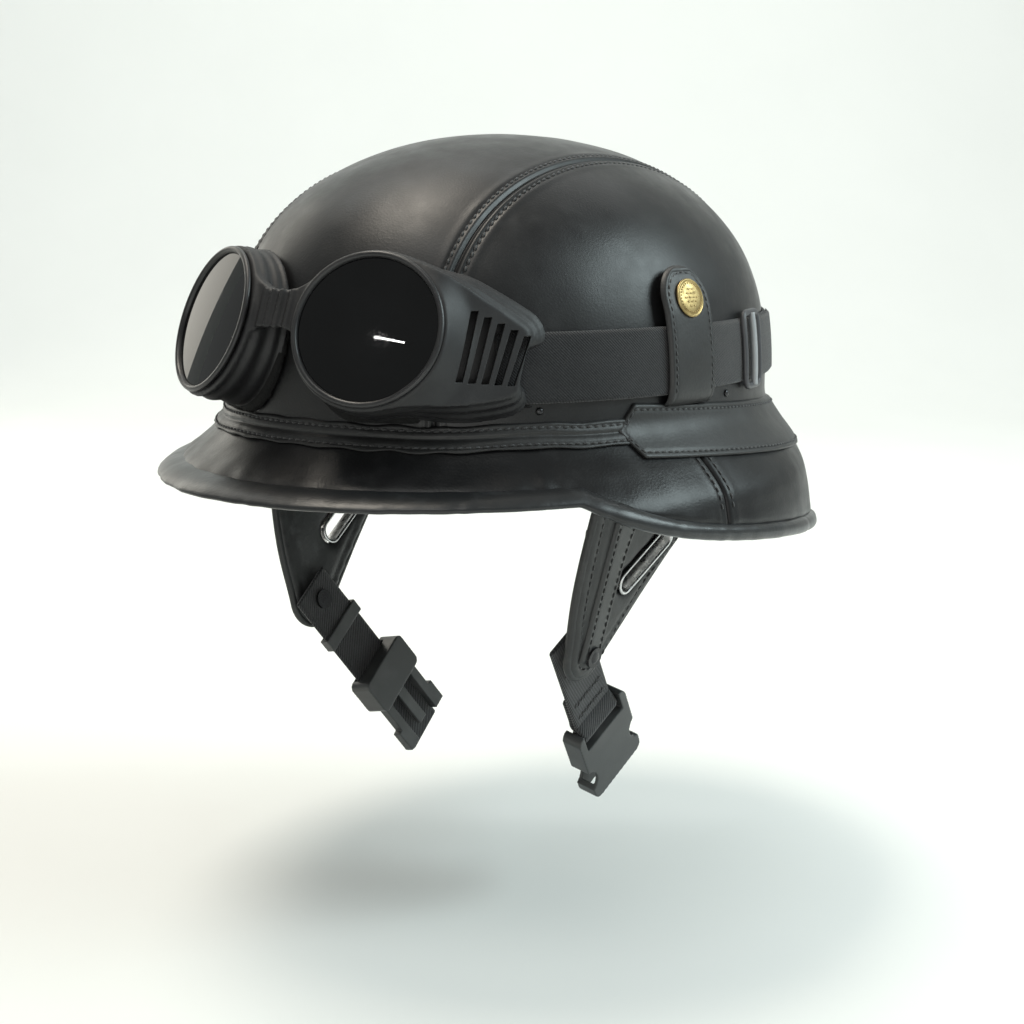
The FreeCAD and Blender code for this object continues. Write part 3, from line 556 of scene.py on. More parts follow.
def brim_panel(rear):
    """Brim leather from the crown seam to the rolled edge, with puckers along the edge."""
    share = np.linspace(-1, 1, 361 if rear else 421)[:, None]
    drop = np.linspace(0, 1, 44) ** 0.9
    z = np.full((len(share), len(drop)), -20.0)
    for _ in range(40):
        edge = plan_angle(BRIM_SEAM_Y + (0.2 if rear else -0.2), z)
        theta = math.pi + share * (math.pi - edge) if rear else share * edge
        y = at(theta, z)[..., 1]
        z = 0.5 * z + 0.5 * (-0.3 + drop * (edge_height(y) + RIM_HEIGHT - 1.2 + 0.3))
    top = at(theta, z)
    normal = unit(outward(top))
    distance = np.abs(top[..., 1] - BRIM_SEAM_Y)
    above = z - edge_height(top[..., 1]) - RIM_HEIGHT
    length = theta * 128
    pucker = np.sin(length / 2.6 + 2.2 * value_noise(top, 26.0, 9)) * 0.16 * np.exp(-above / 5.0)
    crease = 0.55 * value_noise(top * np.array([1, 1, 0.35]), 6.0, 21)
    crease = crease * np.exp(-((top[..., 1] - NOTCH_Y) / 15.0) ** 2) * np.exp(-above / 12.0)
    lift = (0.30 * value_noise(top, 24.0, 11) + 0.10 * value_noise(top, 9.0, 13) + pucker + crease
            + groove(above + 0.6, 0.9, 1.6))
    lift = lift * np.clip(distance / 6.0, 0.3, 1) + seam_relief(distance) * 1.25
    name = "rear" if rear else "front"
    piece = slab("brim_leather_" + name, shifted(top, normal, lift),
                 shifted(top, normal, np.full(z.shape, -LEATHER)))
    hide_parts("brim_cover_" + name)
    return piece


def brim_stitches():
    """Rows each side of the brim's side seams."""
    rows = []
    for gap in (-3.7, 3.7):
        z = np.linspace(-5.0, -33.0, 60)
        row = flank(BRIM_SEAM_Y + gap, z, -0.1)
        normal = unit(outward(row))
        rows.append((row, normal))
        rows.append((flip(row), flip(normal)))
    piece = thread("brim_stitching", rows)
    return piece


def rolled_edge():
    """Rolled leather bead along the brim edge: a rounded square section, dented a little."""
    theta = np.linspace(0, 2 * math.pi, 900, endpoint=False)[:, None]
    turn = np.linspace(0, 2 * math.pi, 28, endpoint=False)[None]
    low = edge_at(theta[:, 0])[:, None]
    path = at(theta, low, 0.0)
    dent = 1 + 0.045 * value_noise(path, 11.0, 31) + 0.03 * value_noise(path, 4.5, 33)
    half_out, half_up = 5.1, 3.7
    wide = np.sign(np.cos(turn)) * np.abs(np.cos(turn)) ** 0.75
    tall = np.sign(np.sin(turn)) * np.abs(np.sin(turn)) ** 0.80
    out = -3.0 + half_out * wide * dent
    z = low + half_up + half_up * tall * dent
    points = at(theta + 0 * turn, z, out)
    piece = build("rolled_edge", points.reshape(-1, 3), grid_faces(len(theta), turn.shape[1], True, True))
    tidy_normals(piece)
    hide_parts("edge_rim")
    return piece


def front_tape():
    """Raised strip over the seam at the front: two sewn rolls with a wavy edge."""
    limit = plan_angle(BAND_SHOULDER_Y - 1.0)
    theta = np.linspace(-limit, limit, 520)[:, None]
    v = np.linspace(-1, 1, 27)[None]
    path = at(theta, 0.0)
    wave = 0.35 * value_noise(path, 9.0, 41) + 0.25 * np.sin(theta * 36)
    centre = 0.6 * value_noise(path, 30.0, 43)
    z = centre + v * (4.9 + wave * np.sign(v) * np.abs(v))
    edge = 1 - np.abs(v) ** 6
    height = 0.25 + 1.35 * edge ** 0.5 + groove(v * 4.9, 0.75, 0.8) + groove(np.abs(v) * 4.9 - 3.1, 0.35, 0.6)
    height = height + 0.12 * value_noise(at(theta, z), 4.0, 45)
    top = at(theta, z, height)
    under = at(theta, z, 0.0 * height - 0.3)
    piece = slab("front_seam_tape", top, under)
    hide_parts("seam_tape")
    return piece


def band_outline(theta):
    """Middle height and half height of the rear band at a plan angle."""
    y = at(theta, 0.0)[..., 1]
    middle = -BAND_FALL * np.maximum(0.0, y - BAND_SHOULDER_Y)
    half = BAND_HALF * np.clip((y - BAND_TIP_Y) / (BAND_SHOULDER_Y - BAND_TIP_Y), 0.02, 1)
    return middle, half


def rear_band():
    """Pointed leather band round the back, its edges pressed down and sewn."""
    tip = plan_angle(BAND_TIP_Y)
    theta = np.linspace(tip, 2 * math.pi - tip, 620)[:, None]
    v = np.linspace(-1, 1, 31)[None]
    middle, half = band_outline(theta)
    z = middle + v * half
    inset = half * (1 - np.abs(v))
    path = at(theta, z)
    height = 0.35 + 1.45 * np.sqrt(np.clip(inset / 1.2, 0, 1)) + groove(inset - 2.4, 0.35, 0.7)
    height = height + 0.15 * value_noise(path, 16.0, 51)
    piece = slab("rear_leather_band", at(theta, z, height), at(theta, z, -0.2))
    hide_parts("rear_band")
    return piece


def trim_stitches():
    """Stitches along both edges of the front tape and round the edge of the rear band."""
    limit = plan_angle(BAND_SHOULDER_Y - 2.5)
    theta = np.linspace(-limit, limit, 400)
    rows = []
    path = at(theta, 0.0)
    centre = 0.6 * value_noise(path, 30.0, 43)
    for rise in (-3.1, 3.1):
        row = at(theta, centre + rise, 1.35)
        rows.append((row, unit(outward(row))))
    tip = plan_angle(BAND_TIP_Y + 3.4)
    theta = np.linspace(tip, 2 * math.pi - tip, 700)
    middle, half = band_outline(theta)
    for sign in (-1, 1):
        row = at(theta, middle + sign * np.maximum(half - 2.4, 0.1), 1.55)
        rows.append((row, unit(outward(row))))
    return thread("trim_stitching", rows)


# ---------------------------------------------------------------- goggle strap, tabs and snaps

def strap_piece(name, path_at, low, high, base, thick, round_end=False):
    """Flat elastic against the crown: path_at gives plan angles, the edges are rounded off."""
    theta = path_at[:, None]
    v = np.linspace(-1, 1, 25)[None]
    half = (high - low) / 2
    middle = (high + low) / 2
    shrink = np.ones_like(theta)
    if round_end:
        y = at(theta, middle)[..., 1]
        near = np.clip((y.max() - y) / 5.0, 0, 1)
        shrink = 1 - 0.16 * (1 - np.sqrt(1 - (1 - near) ** 2))
    z = middle + v * half * shrink
    edge = np.sqrt(np.clip((1 - np.abs(v)) * half / 1.0, 0, 1))
    top = at(theta, z, base + thick * (0.35 + 0.65 * edge))
    under = at(theta, z, base + 0.0 * edge)
    length = np.concatenate([[0], np.cumsum(np.linalg.norm(np.diff(at(path_at, middle), axis=0), axis=1))])
    uv = (np.broadcast_to(length[:, None], z.shape), np.broadcast_to(z, z.shape))
    return slab(name, top, under, uv=uv)


def make_straps():
    """Front runs in two layers on each side, the rear run, and its turned-back end at the slider."""
    pieces = []
    front = np.linspace(plan_angle(-97.0, 26.5), plan_angle(-14.0, 26.5), 150)
    outer = np.linspace(plan_angle(-97.0, 26.5), plan_angle(-27.0, 26.5), 130)
    for side, mirror in (("left", 1.0), ("right", -1.0)):
        inner_run = strap_piece("strap_front_" + side + "_inner", front * mirror, STRAP_LOW, STRAP_HIGH,
                                0.6, 1.2)
        outer_run = strap_piece("strap_front_" + side + "_outer", outer * mirror, STRAP_LOW - 0.3,
                                STRAP_HIGH + 0.3, 1.85, 1.2, round_end=True)
        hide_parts("strap_front_" + side)
        end = flank(-90.0, 26.5)
        start = flank(-34.0, 26.5)
        if mirror < 0:
            start, end = flip(start), flip(end)
        for piece in (inner_run, outer_run):
            pieces.append((piece, metres(start), metres(end)))
    first = plan_angle(-6.0, 26.5)
    rear = strap_piece("strap_rear_run", np.linspace(first, 2 * math.pi - first, 520), STRAP_LOW,
                       STRAP_HIGH, 0.6, 1.3)
    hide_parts("strap_rear")
    turned = np.linspace(plan_angle(SLIDER_Y + 2, 26.5), plan_angle(92.0, 26.5), 90)
    back = strap_piece("strap_turned_end", turned,
                       STRAP_LOW + 0.5, STRAP_HIGH - 0.5, 2.0, 1.2)
    return pieces, rear, back


def tab_half_width(z):
    """Half width of the strap tab: straight sides and a half-round top."""
    centre = TAB_TOP - TAB_HALF
    return TAB_HALF * np.sqrt(np.clip(1 - (np.maximum(z - centre, 0) / TAB_HALF) ** 2, 0, 1))


def tab_surface(u, z, lift):
    """Point of the tab: it rises off the band at its foot and lies over the strap."""
    stand = 4.0 - 3.4 * np.exp(-np.maximum(z - 8.0, 0) / 2.6) - 0.8 * np.clip((z - 46) / 18, 0, 1)
    return flank(TAB_Y + u * tab_half_width(z), z, stand + lift)


def make_tab(mirror):
    """Leather tab over the strap, with its row of stitches."""
    side = "right" if mirror else "left"
    angle = np.linspace(0, 1, 90)
    z = 8.0 + (TAB_TOP - 8.0) * np.sin(angle * math.pi / 2) ** 0.96
    z = np.minimum(z, TAB_TOP - 0.02)[:, None]
    u = np.linspace(-1, 1, 41)[None]
    inset = np.minimum((1 - np.abs(u)) * tab_half_width(z), TAB_TOP - z)
    edge = np.sqrt(np.clip(inset / 1.1, 0, 1))
    rise = 0.35 + 1.55 * edge + groove(inset - 2.7, 0.30, 0.7)
    z2 = z + 0 * u
    points = tab_surface(u, z2, rise + 0.12 * value_noise(flank(TAB_Y + u * 14, z2), 9.0, 61))
    under = tab_surface(u, z2, 0 * rise)
    row_z = np.linspace(13.0, TAB_TOP - TAB_HALF, 60)
    bend = np.linspace(0, math.pi, 60)
    inner = TAB_HALF - 2.7
    top = TAB_TOP - TAB_HALF
    row_y = np.concatenate([np.full(60, -inner), -inner * np.cos(bend), np.full(60, inner)])
    row_z = np.concatenate([row_z, top + inner * np.sin(bend), row_z[::-1]])
    half = np.maximum(tab_half_width(row_z), 0.1)
    row = tab_surface(row_y / half, row_z, 1.55)
    normal = unit(outward(row))
    if mirror:
        points, under, row, normal = flip(points), flip(under), flip(row), flip(normal)
    leather = slab("tab_leather_" + side, points, under)
    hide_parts("strap_tab_" + side)
    sewn = thread("tab_stitching_" + side, [(row, normal)], pitch=3.0, stitch=2.2, radius=0.38)
    return leather, sewn


def revolve(name, centre, axis, profile, count=72):
    """Profile of (radius, height) points turned round an axis; a radius of zero closes it."""
    axis = unit(np.asarray(axis, float))
    across = unit(np.cross(axis, [0.0, 0.31, 0.95]))
    third = np.cross(axis, across)
    turn = np.linspace(0, 2 * math.pi, count, endpoint=False)
    ring = np.cos(turn)[:, None] * across + np.sin(turn)[:, None] * third
    profile = np.asarray(profile, float)
    points = centre + ring[:, None] * profile[None, :, 0, None] + axis * profile[None, :, 1, None]
    piece = build(name, points.reshape(-1, 3), grid_faces(count, len(profile), True, False))
    tidy_normals(piece)
    return piece


def snap_seat():
    """Centre of the snap on the tab's outer face, and the way it points."""
    low, high = flank(TAB_Y, SNAP_Z - 4.0), flank(TAB_Y, SNAP_Z + 4.0)
    fore, aft = flank(TAB_Y - 4.0, SNAP_Z), flank(TAB_Y + 4.0, SNAP_Z)
    out = unit(np.cross(aft - fore, high - low))
    return tab_surface(np.array(0.0), np.array(SNAP_Z), 1.7), out


def snap_relief(side, seat, out, across, up):
    """Beads round the cap and bars in rows over its middle, as one raised pattern."""
    blobs = [(6.0 * math.cos(a), 6.0 * math.sin(a), 0.36, 0.36)
             for a in np.linspace(0, 2 * math.pi, 30, endpoint=False)]
    for row, counts in enumerate((2, 3, 4, 3, 2)):
        for k in range(counts):
            blobs.append(((k - (counts - 1) / 2) * 2.3, (2 - row) * 1.75, 0.85, 0.42))
    bead = bmesh.new()
    bmesh.ops.create_icosphere(bead, subdivisions=2, radius=1.0)
    ball = np.array([v.co[:] for v in bead.verts])
    ball_faces = np.array([[v.index for v in f.verts] for f in bead.faces])
    bead.free()
    verts, faces = [], []
    for number, (a, b, long, high) in enumerate(blobs):
        lift = 0.9 + 0.8 * math.sqrt(max(0.0, 1 - (a * a + b * b) / 47.6))
        shaped = (ball[:, :1] * long * across + ball[:, 1:2] * high * up + ball[:, 2:] * 0.36 * out)
        verts.append(seat + a * across + b * up + lift * out + shaped)
        faces.append(ball_faces + number * len(ball))
    return build("snap_relief_" + side, np.concatenate(verts), np.concatenate(faces))


def make_snap(mirror):
    """Low snap cap: rolled rim, a ring of small beads and rows of short bars across the middle."""
    side = "right" if mirror else "left"
    seat, out = snap_seat()
    if mirror:
        seat, out = flip(seat), flip(out)
    angle = np.linspace(0, 1, 20) * math.pi / 2
    dome = [(6.9 * math.sin(a), 0.9 + 0.8 * math.cos(a)) for a in angle]
    rim = [(7.3 + 0.7 * math.sin(a), 0.7 + 0.6 * math.cos(a)) for a in np.linspace(0, 2.6, 12)]
    profile = [(0.0, 1.7)] + dome[1:] + [(7.0, 0.9)] + rim + [(7.6, 0.0), (0.0, -0.3)]
    cap = revolve("snap_dome_" + side, seat, out, profile)
    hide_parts("snap_cap_" + side)
    up = unit(np.array([0, 0, 1.0]) - out * out[2])
    across = np.cross(up, out)
    return cap, snap_relief(side, seat, out, across, up)


def make_slider():
    """Rounded three-bar slider on the strap, with a light bar across the middle."""
    turn = np.linspace(0, 2 * math.pi, 160, endpoint=False)
    corner = 0.28
    y = SLIDER_Y + 9.0 * np.sign(np.cos(turn)) * np.abs(np.cos(turn)) ** corner
    z = 26.5 + 15.6 * np.sign(np.sin(turn)) * np.abs(np.sin(turn)) ** corner
    path = flank(y, z, 3.0)
    out = unit(outward(path))
    ahead = unit(np.roll(path, -1, 0) - np.roll(path, 1, 0))
    side = np.cross(out, ahead)
    bend = np.linspace(0, 2 * math.pi, 16, endpoint=False)
    section = np.stack([1.5 * np.cos(bend), 1.25 * np.sin(bend)], 1)
    ring = tube("slider_frame", path, section, side, out, closed=True)
    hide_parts("strap_slider")
    z = np.linspace(26.5 - 15.4, 26.5 + 15.4, 50)
    bars = []
    for name, y in (("slider_middle_bar", SLIDER_Y),):
        path = flank(y, z, 3.9)
        out = unit(outward(path))
        ahead = unit(np.gradient(path, axis=0))
        bars.append(tube(name, path, section * 1.05, np.cross(out, ahead), out))
    return ring, bars


def make_rivets():
    """Small dark domed rivets over the ends of the strap anchors."""
    pieces = []
    dome = [(0.0, 1.0), (0.6, 0.95), (1.1, 0.75), (1.5, 0.4), (1.6, 0.0), (0.0, -0.4)]
    for y, z in ((-84.0, 9.5), (14.0, 9.3)):
        seat = flank(y, z, 0.1)
        out = unit(outward(seat))
        number = "front" if y < 0 else "rear"
        pieces.append(revolve("anchor_rivet_left_" + number, seat, out, dome, 28))
        pieces.append(revolve("anchor_rivet_right_" + number, flip(seat), flip(out), dome, 28))
    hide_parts("anchor_rivets")
    return pieces


# ---------------------------------------------------------------- goggles

def lens_frame(sign=1):
    """Centre of a lens, the way it faces, and two directions across it (outwards, up)."""
    facing = np.array([math.sin(LENS_YAW) * math.cos(LENS_TILT), -math.cos(LENS_YAW) * math.cos(LENS_TILT),
                       math.sin(LENS_TILT)])
    flat = unit(np.cross([0, 0, 1.0], facing))
    rise = np.cross(facing, flat)
    mirror = np.array([sign, 1.0, 1.0])
    return LENS_CENTRE * mirror, facing * mirror, flat * mirror, rise * mirror


def crown_measure(points, out):
    """Below zero inside the crown grown by out, above zero outside it."""
    front, rear, side = CROWN_FRONT + out, CROWN_REAR + out, CROWN_SIDE + out
    length = np.where(points[..., 1] < 0, front, rear)
    high = np.clip((points[..., 2] - CROWN_BASE) / (CROWN_TOP - CROWN_BASE + out), 0, 2) ** FULLNESS
    return (points[..., 0] / side) ** 2 + (points[..., 1] / length) ** 2 + high - 1


def remeshed(name, things, voxel, smooth, factor=0.5, laps=1):
    """One moulded piece from overlapping solids: joined, skinned at a voxel size and eased."""
    work = bmesh.new()
    for thing in things:
        work.from_mesh(thing.data)
    bmesh.ops.remove_doubles(work, verts=work.verts, dist=2e-6)
    mesh = bpy.data.meshes.new(name)
    work.to_mesh(mesh)
    work.free()
    piece = bpy.data.objects.new(name, mesh)
    bpy.context.scene.collection.objects.link(piece)
    skin = piece.modifiers.new("skin", "REMESH")
    skin.mode = "VOXEL"
    skin.voxel_size = voxel / 1000
    for _ in range(laps):
        ease = piece.modifiers.new("ease", "SMOOTH")
        ease.factor = factor
        ease.iterations = smooth
    view = bpy.context.evaluated_depsgraph_get()
    view.update()
    final = bpy.data.meshes.new_from_object(piece.evaluated_get(view))
    piece.modifiers.clear()
    piece.data = final
    final.polygons.foreach_set("use_smooth", np.ones(len(final.polygons), bool))
    for thing in things:
        if "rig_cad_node" not in thing:
            bpy.data.objects.remove(thing)
    return piece


def vertex_array(piece):
    """Vertices of a piece as an array in millimetres from the brim seam."""
    co = np.zeros(len(piece.data.vertices) * 3)
    piece.data.vertices.foreach_get("co", co)
    return co.reshape(-1, 3) * 1000 - np.array([0, 0, SEAM_Z])


def set_vertices(piece, points):
    """Writes vertices given in millimetres from the brim seam."""
    piece.data.vertices.foreach_set("co", metres(points).ravel())
    piece.data.update()


def path_tube(name, path, radius, out, closed=False, flat=1.0, count=12):
    """Round cord of rubber or leather along a path."""
    bend = np.linspace(0, 2 * math.pi, count, endpoint=False)
    ahead = unit(np.roll(path, -1, 0) - np.roll(path, 1, 0)) if closed else unit(np.gradient(path, axis=0))
    out = unit(out - (out * ahead).sum(-1, keepdims=True) * ahead)
    side = np.cross(out, ahead)
    section = np.stack([radius * np.cos(bend), flat * radius * np.sin(bend)], 1)
    return tube(name, path, section, side, out, closed)


def wing_point(along, z):
    """Point of the left wing's leaning outer face, a share of the way from root to tip."""
    root = np.array([LENS_CENTRE[0] + 0.80 * LENS_RADIUS, LENS_CENTRE[1] + 0.42 * LENS_RADIUS, 0.0])
    tip = np.array(WING_TIP)
    run = unit(tip - root)
    out = np.array([run[1], -run[0], 0.0])
    along, z = np.broadcast_arrays(np.asarray(along, float), np.asarray(z, float))
    point = root + along[..., None] * (tip - root) - out * (0.16 * (z - 26.5))[..., None]
    return np.concatenate([point[..., :2], z[..., None]], -1)


def from_lens(points):
    """Position outwards, up and behind the left lens of points in space."""
    centre, facing, flat, rise = lens_frame()
    return np.stack([(points - centre) @ flat, (points - centre) @ rise, (centre - points) @ facing], -1)


def beside_lens(spot):
    """Points in space from positions outwards, up and behind the left lens."""
    centre, facing, flat, rise = lens_frame()
    return centre + spot[..., :1] * flat + spot[..., 1:2] * rise - spot[..., 2:] * facing


def face_depth(spot):
    """How far behind the lens the moulding's outer face lies: level round the lens, then the wing."""
    corners = from_lens(wing_point(np.array([0.0, 1.0, 0.0]), np.array([26.5, 26.5, 50.0])))
    rates = np.linalg.solve(np.column_stack([np.ones(3), corners[:, :2]]), corners[:, 2])
    wing = rates[0] + spot[..., 0] * rates[1] + spot[..., 1] * rates[2]
    depth = FACE_DEPTH + 2.5 * np.log1p(np.exp((wing - FACE_DEPTH) / 2.5))
    reach = np.clip((np.hypot(spot[..., 0], spot[..., 1]) - RIM_RADIUS) / 8.0, 0, 1)
    return FACE_DEPTH + (depth - FACE_DEPTH) * reach * (2 - reach)


def crest_line(count):
    """Drop-shaped outline of the moulding's face about the left lens, with its corners rounded."""
    turn = np.radians(np.linspace(64, 278, 70))
    ring = CREST_RADIUS * np.stack([np.cos(turn), np.sin(turn)], 1)
    below = from_lens(wing_point(np.array([0.28, 0.55, 0.80]), np.array([13.6, 14.6, 16.5])))[:, :2]
    above = wing_point(np.array([0.97, 0.78, 0.54, 0.29]), np.array([41.0, 46.4, 53.0, 60.4]))
    above = from_lens(above)[:, :2]
    line = np.concatenate([ring, below, above, ring[:1]])
    length = np.concatenate([[0], np.cumsum(np.hypot(*np.diff(line, axis=0).T))])
    steps = np.linspace(0, length[-1], 600, endpoint=False)
    line = np.stack([np.interp(steps, length, line[:, k]) for k in range(2)], 1)
    for _ in range(60):
        line = 0.5 * line + 0.25 * (np.roll(line, 1, 0) + np.roll(line, -1, 0))
    return line[:: len(line) // count]


def drop_to_crown(points, out):
    """Points moved in along the crown's outward direction until they lie out from the crown."""
    inward = -outward(points)
    low, high = np.full(points.shape[:-1], -20.0), np.full(points.shape[:-1], 60.0)
    for _ in range(36):
        middle = (low + high) / 2
        inside = crown_measure(points + inward * middle[..., None], out) < 0
        high = np.where(inside, middle, high)
        low = np.where(inside, low, middle)
    return points + inward * low[..., None]


def cup_shell():
    """Left eye cup and wing: a moulded wall from the lens rim over its face and down to the crown."""
    crest = crest_line(300)
    turn = np.arctan2(crest[:, 1], crest[:, 0])[:, None]
    beam = np.stack([np.cos(turn), np.sin(turn)], -1)
    rim = [(27.2, 2.6), (28.2, 1.3), (29.4, 0.9), (31.0, 0.9), (RIM_RADIUS, 1.2)]
    spots = [np.concatenate([beam * r, np.full((len(crest), 1, 1), d)], -1) for r, d in rim]
    share = np.linspace(0, 1, 26)[1:][None, :, None]
    flat = RIM_RADIUS * beam * (1 - share) + crest[:, None] * share
    face = np.concatenate([flat, face_depth(flat)[..., None]], -1)
    rows = beside_lens(np.concatenate(spots + [face], 1))
    edge = rows[:, -1]
    round_way = unit(np.roll(edge, -1, 0) - np.roll(edge, 1, 0))
    down = -outward(edge)
    aside = unit(np.cross(down, round_way))
    aside *= np.sign((aside * (edge - lens_frame()[0])).sum(-1, keepdims=True))
    end = np.clip((crest[:, 0] - 47.0) / 3.0, 0, 1)
    spot = from_lens(edge)
    corner = np.interp(spot[:, 1], [-17.5, -12.5, 0.5, 4.5], [0.0, 1.0, 1.0, 0.0])
    open_end = (end * corner)[:, None]
    flare = 4.4 + 1.8 * np.clip((crest[:, :1] - 6.0) / 30.0, 0, 1)
    foot = drop_to_crown(edge + aside * flare, FOOT_GAP)
    foot = foot * (1 - open_end) + (edge + down * 2.2 + aside * 0.4) * open_end
    skirt = drop_to_crown(foot + aside * 1.9, FOOT_GAP - 0.3)
    skirt = skirt * (1 - open_end) + (foot + down * 0.6) * open_end
    s = np.linspace(0, 1, 22)[1:-1]
    ledges = [np.clip((s - start) / 0.24, 0, 1) for start in (0.14, 0.58)]
    swing_out = sum(0.5 * ledge * ledge * (3 - 2 * ledge) for ledge in ledges) - s
    wall = [edge * (1 - a) + foot * a + aside * (flare * b) * (1 - open_end) for a, b in zip(s, swing_out)]
    top = np.concatenate([rows] + [w[:, None] for w in wall + [foot, (foot + skirt) / 2, skirt]], 1)
    hollow = lens_frame()[0] - 14.0 * lens_frame()[1]
    under = top - grid_normal(np.concatenate([top[-1:], top, top[:1]]), hollow)[1:-1] * SKIN
    return slab("cup_shell", top, under, wrap_rows=True)


def cut_vents(moulding):
    """Five slanting slots through each wing."""
    work = bmesh.new()
    for k in range(5):
        low = wing_point(0.222 + 0.130 * k, 22.6 - 0.5 * k)
        high = wing_point(0.415 + 0.130 * k, 49.2 - 2.5 * k)
        up = unit(high - low)
        run = unit(wing_point(1.0, 30.0) - wing_point(0.0, 30.0))
        out = unit(np.cross(up, run))
        corners = [end + run * a + out * b for end in (low, high) for a in (-1.55, 1.55) for b in (-9.0, 9.0)]
        for points in (np.array(corners), flip(np.array(corners))):
            bmesh.ops.convex_hull(work, input=[work.verts.new(p) for p in metres(points)])
    mesh = bpy.data.meshes.new("vents")
    work.to_mesh(mesh)
    work.free()
    vents = bpy.data.objects.new("vents", mesh)
    bpy.context.scene.collection.objects.link(vents)
    cut = moulding.modifiers.new("vents", "BOOLEAN")
    cut.operation = "DIFFERENCE"
    cut.solver = "EXACT"
    cut.object = vents
    view = bpy.context.evaluated_depsgraph_get()
    view.update()
    moulding.data = bpy.data.meshes.new_from_object(moulding.evaluated_get(view))
    moulding.modifiers.clear()
    bpy.data.objects.remove(vents)


def mirrored(thing):
    """The same piece on the wearer's right."""
    other = thing.copy()
    other.data = thing.data.copy()
    bpy.context.scene.collection.objects.link(other)
    other.data.transform(Matrix.Scale(-1, 4, (1, 0, 0)))
    other.data.flip_normals()
    return other


def bridge_face(x, z, lift=0.0):
    """Front of the bridge: the two lens planes run together in a soft fold over the nose."""
    centre, facing = lens_frame()[:2]
    fold = np.sqrt(x * x + FOLD_ROUNDING)
    across, above = facing[0] * (fold - centre[0]), facing[2] * (z - centre[2])
    y = centre[1] + (lift - FACE_DEPTH - across - above) / facing[1]
    return np.stack([x, y, z], -1)


def goggle_bridge():
    """Saddle between the cups with four upright ribs."""
    x, t = np.meshgrid(np.linspace(-20, 20, 61), np.linspace(0, 1, 21), indexing="ij")
    spread = (np.abs(x) / 19.0) ** 2.4
    low, high = 42.2 - 9.0 * spread, 56.0 + 8.5 * spread
    z = low + (high - low) * t
    pinch = 1.6 * np.exp(-(x / 11.0) ** 6)
    front = bridge_face(x, z, -pinch)
    pieces = [slab("bridge", front, front + np.array([0, 4.2, 0.0]))]
    for x_rib in (-7.2, -2.4, 2.4, 7.2):
        z = np.linspace(41.6, 56.6, 24)
        path = bridge_face(np.full(24, x_rib), z, -1.0)
        pieces.append(path_tube("bridge_rib", path, 1.25, np.broadcast_to([0, -1.0, 0.0], path.shape)))
    return pieces


def make_goggles():
    """Moulded rubber frame, gaskets, thin bezels and dark glossy lenses."""
    cup = cup_shell()
    voxel = 0.75
    frame_piece = remeshed("goggle_moulding", [cup, mirrored(cup)] + goggle_bridge(), voxel, 4, 0.55)
    cut_vents(frame_piece)
    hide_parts("goggle_frame")
    done = {"frame": [frame_piece], "gasket": [], "bezel": [], "lens": []}
    for side, sign in (("left", 1), ("right", -1)):
        gasket = remeshed("goggle_cushion_" + side, [nodes["goggle_gasket_" + side]], 0.9, 3, 0.6)
        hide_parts("goggle_gasket_" + side)
        done["gasket"].append(gasket)
        centre, facing = lens_frame(sign)[:2]
        bend = np.linspace(-0.5 * math.pi, 0.5 * math.pi, 14)
        outer = [(29.5 + 1.3 * math.cos(a), 0.7 + 1.2 * math.sin(a)) for a in bend]
        inner = [(28.9, 1.75), (28.5, 1.2), (28.2, 0.3), (28.1, -0.6), (29.4, -0.6)]
        done["bezel"].append(revolve("bezel_ring_" + side, centre, facing, outer + inner + outer[:1], 160))
        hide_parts("lens_bezel_" + side)
        radius = np.linspace(0, 1, 24)
        face = [(28.9 * r, 0.2 + 1.0 * (1 - r ** 2)) for r in radius]
        back = [(28.9 * r, -1.9 + 0.9 * (1 - r ** 2)) for r in radius[::-1]]
        done["lens"].append(revolve("smoked_lens_" + side, centre, facing, face + back, 128))
        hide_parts("lens_" + side)
    return done


# ---------------------------------------------------------------- ear flaps

def hang(points):
    """From a flap's flat frame (x out, y back, z up from its hinge) to the helmet, left side."""
    c, s = math.cos(FLAP_LEAN), math.sin(FLAP_LEAN)
    x, y, z = points[..., 0], points[..., 1], points[..., 2]
    return np.stack([c * x + s * z + FLAP_X, y, -s * x + c * z + FLAP_TOP], -1)


def unhang(points):
    """From the helmet back to the left flap's flat frame."""
    c, s = math.cos(FLAP_LEAN), math.sin(FLAP_LEAN)
    x, y, z = points[..., 0] - FLAP_X, points[..., 1], points[..., 2] - FLAP_TOP
    return np.stack([c * x - s * z, y, s * x + c * z], -1)


def swing(points):
    """From a chin strap's frame (y across it, z down it from the rivet) to the helmet, left side."""
    c, s = math.cos(WEB_SWING), math.sin(WEB_SWING)
    x, y, z = points[..., 0], points[..., 1], points[..., 2]
    return hang(np.stack([x, c * y - s * z + PIVOT_Y, s * y + c * z + PIVOT_Z], -1))


def spline(points, count):
    """Smooth curve through a few points, by Catmull-Rom blending."""
    p = np.asarray(points, float)
    p = np.concatenate([2 * p[:1] - p[1:2], p, 2 * p[-1:] - p[-2:-1]])
    t = np.linspace(0, len(p) - 3, count)
    i = np.minimum(t.astype(int), len(p) - 4)
    f = (t - i)[:, None]
    a, b, c, d = p[i], p[i + 1], p[i + 2], p[i + 3]
    return 0.5 * (2 * b + (c - a) * f + (2 * a - 5 * b + 4 * c - d) * f ** 2
                  + (3 * b - a - 3 * c + d) * f ** 3)


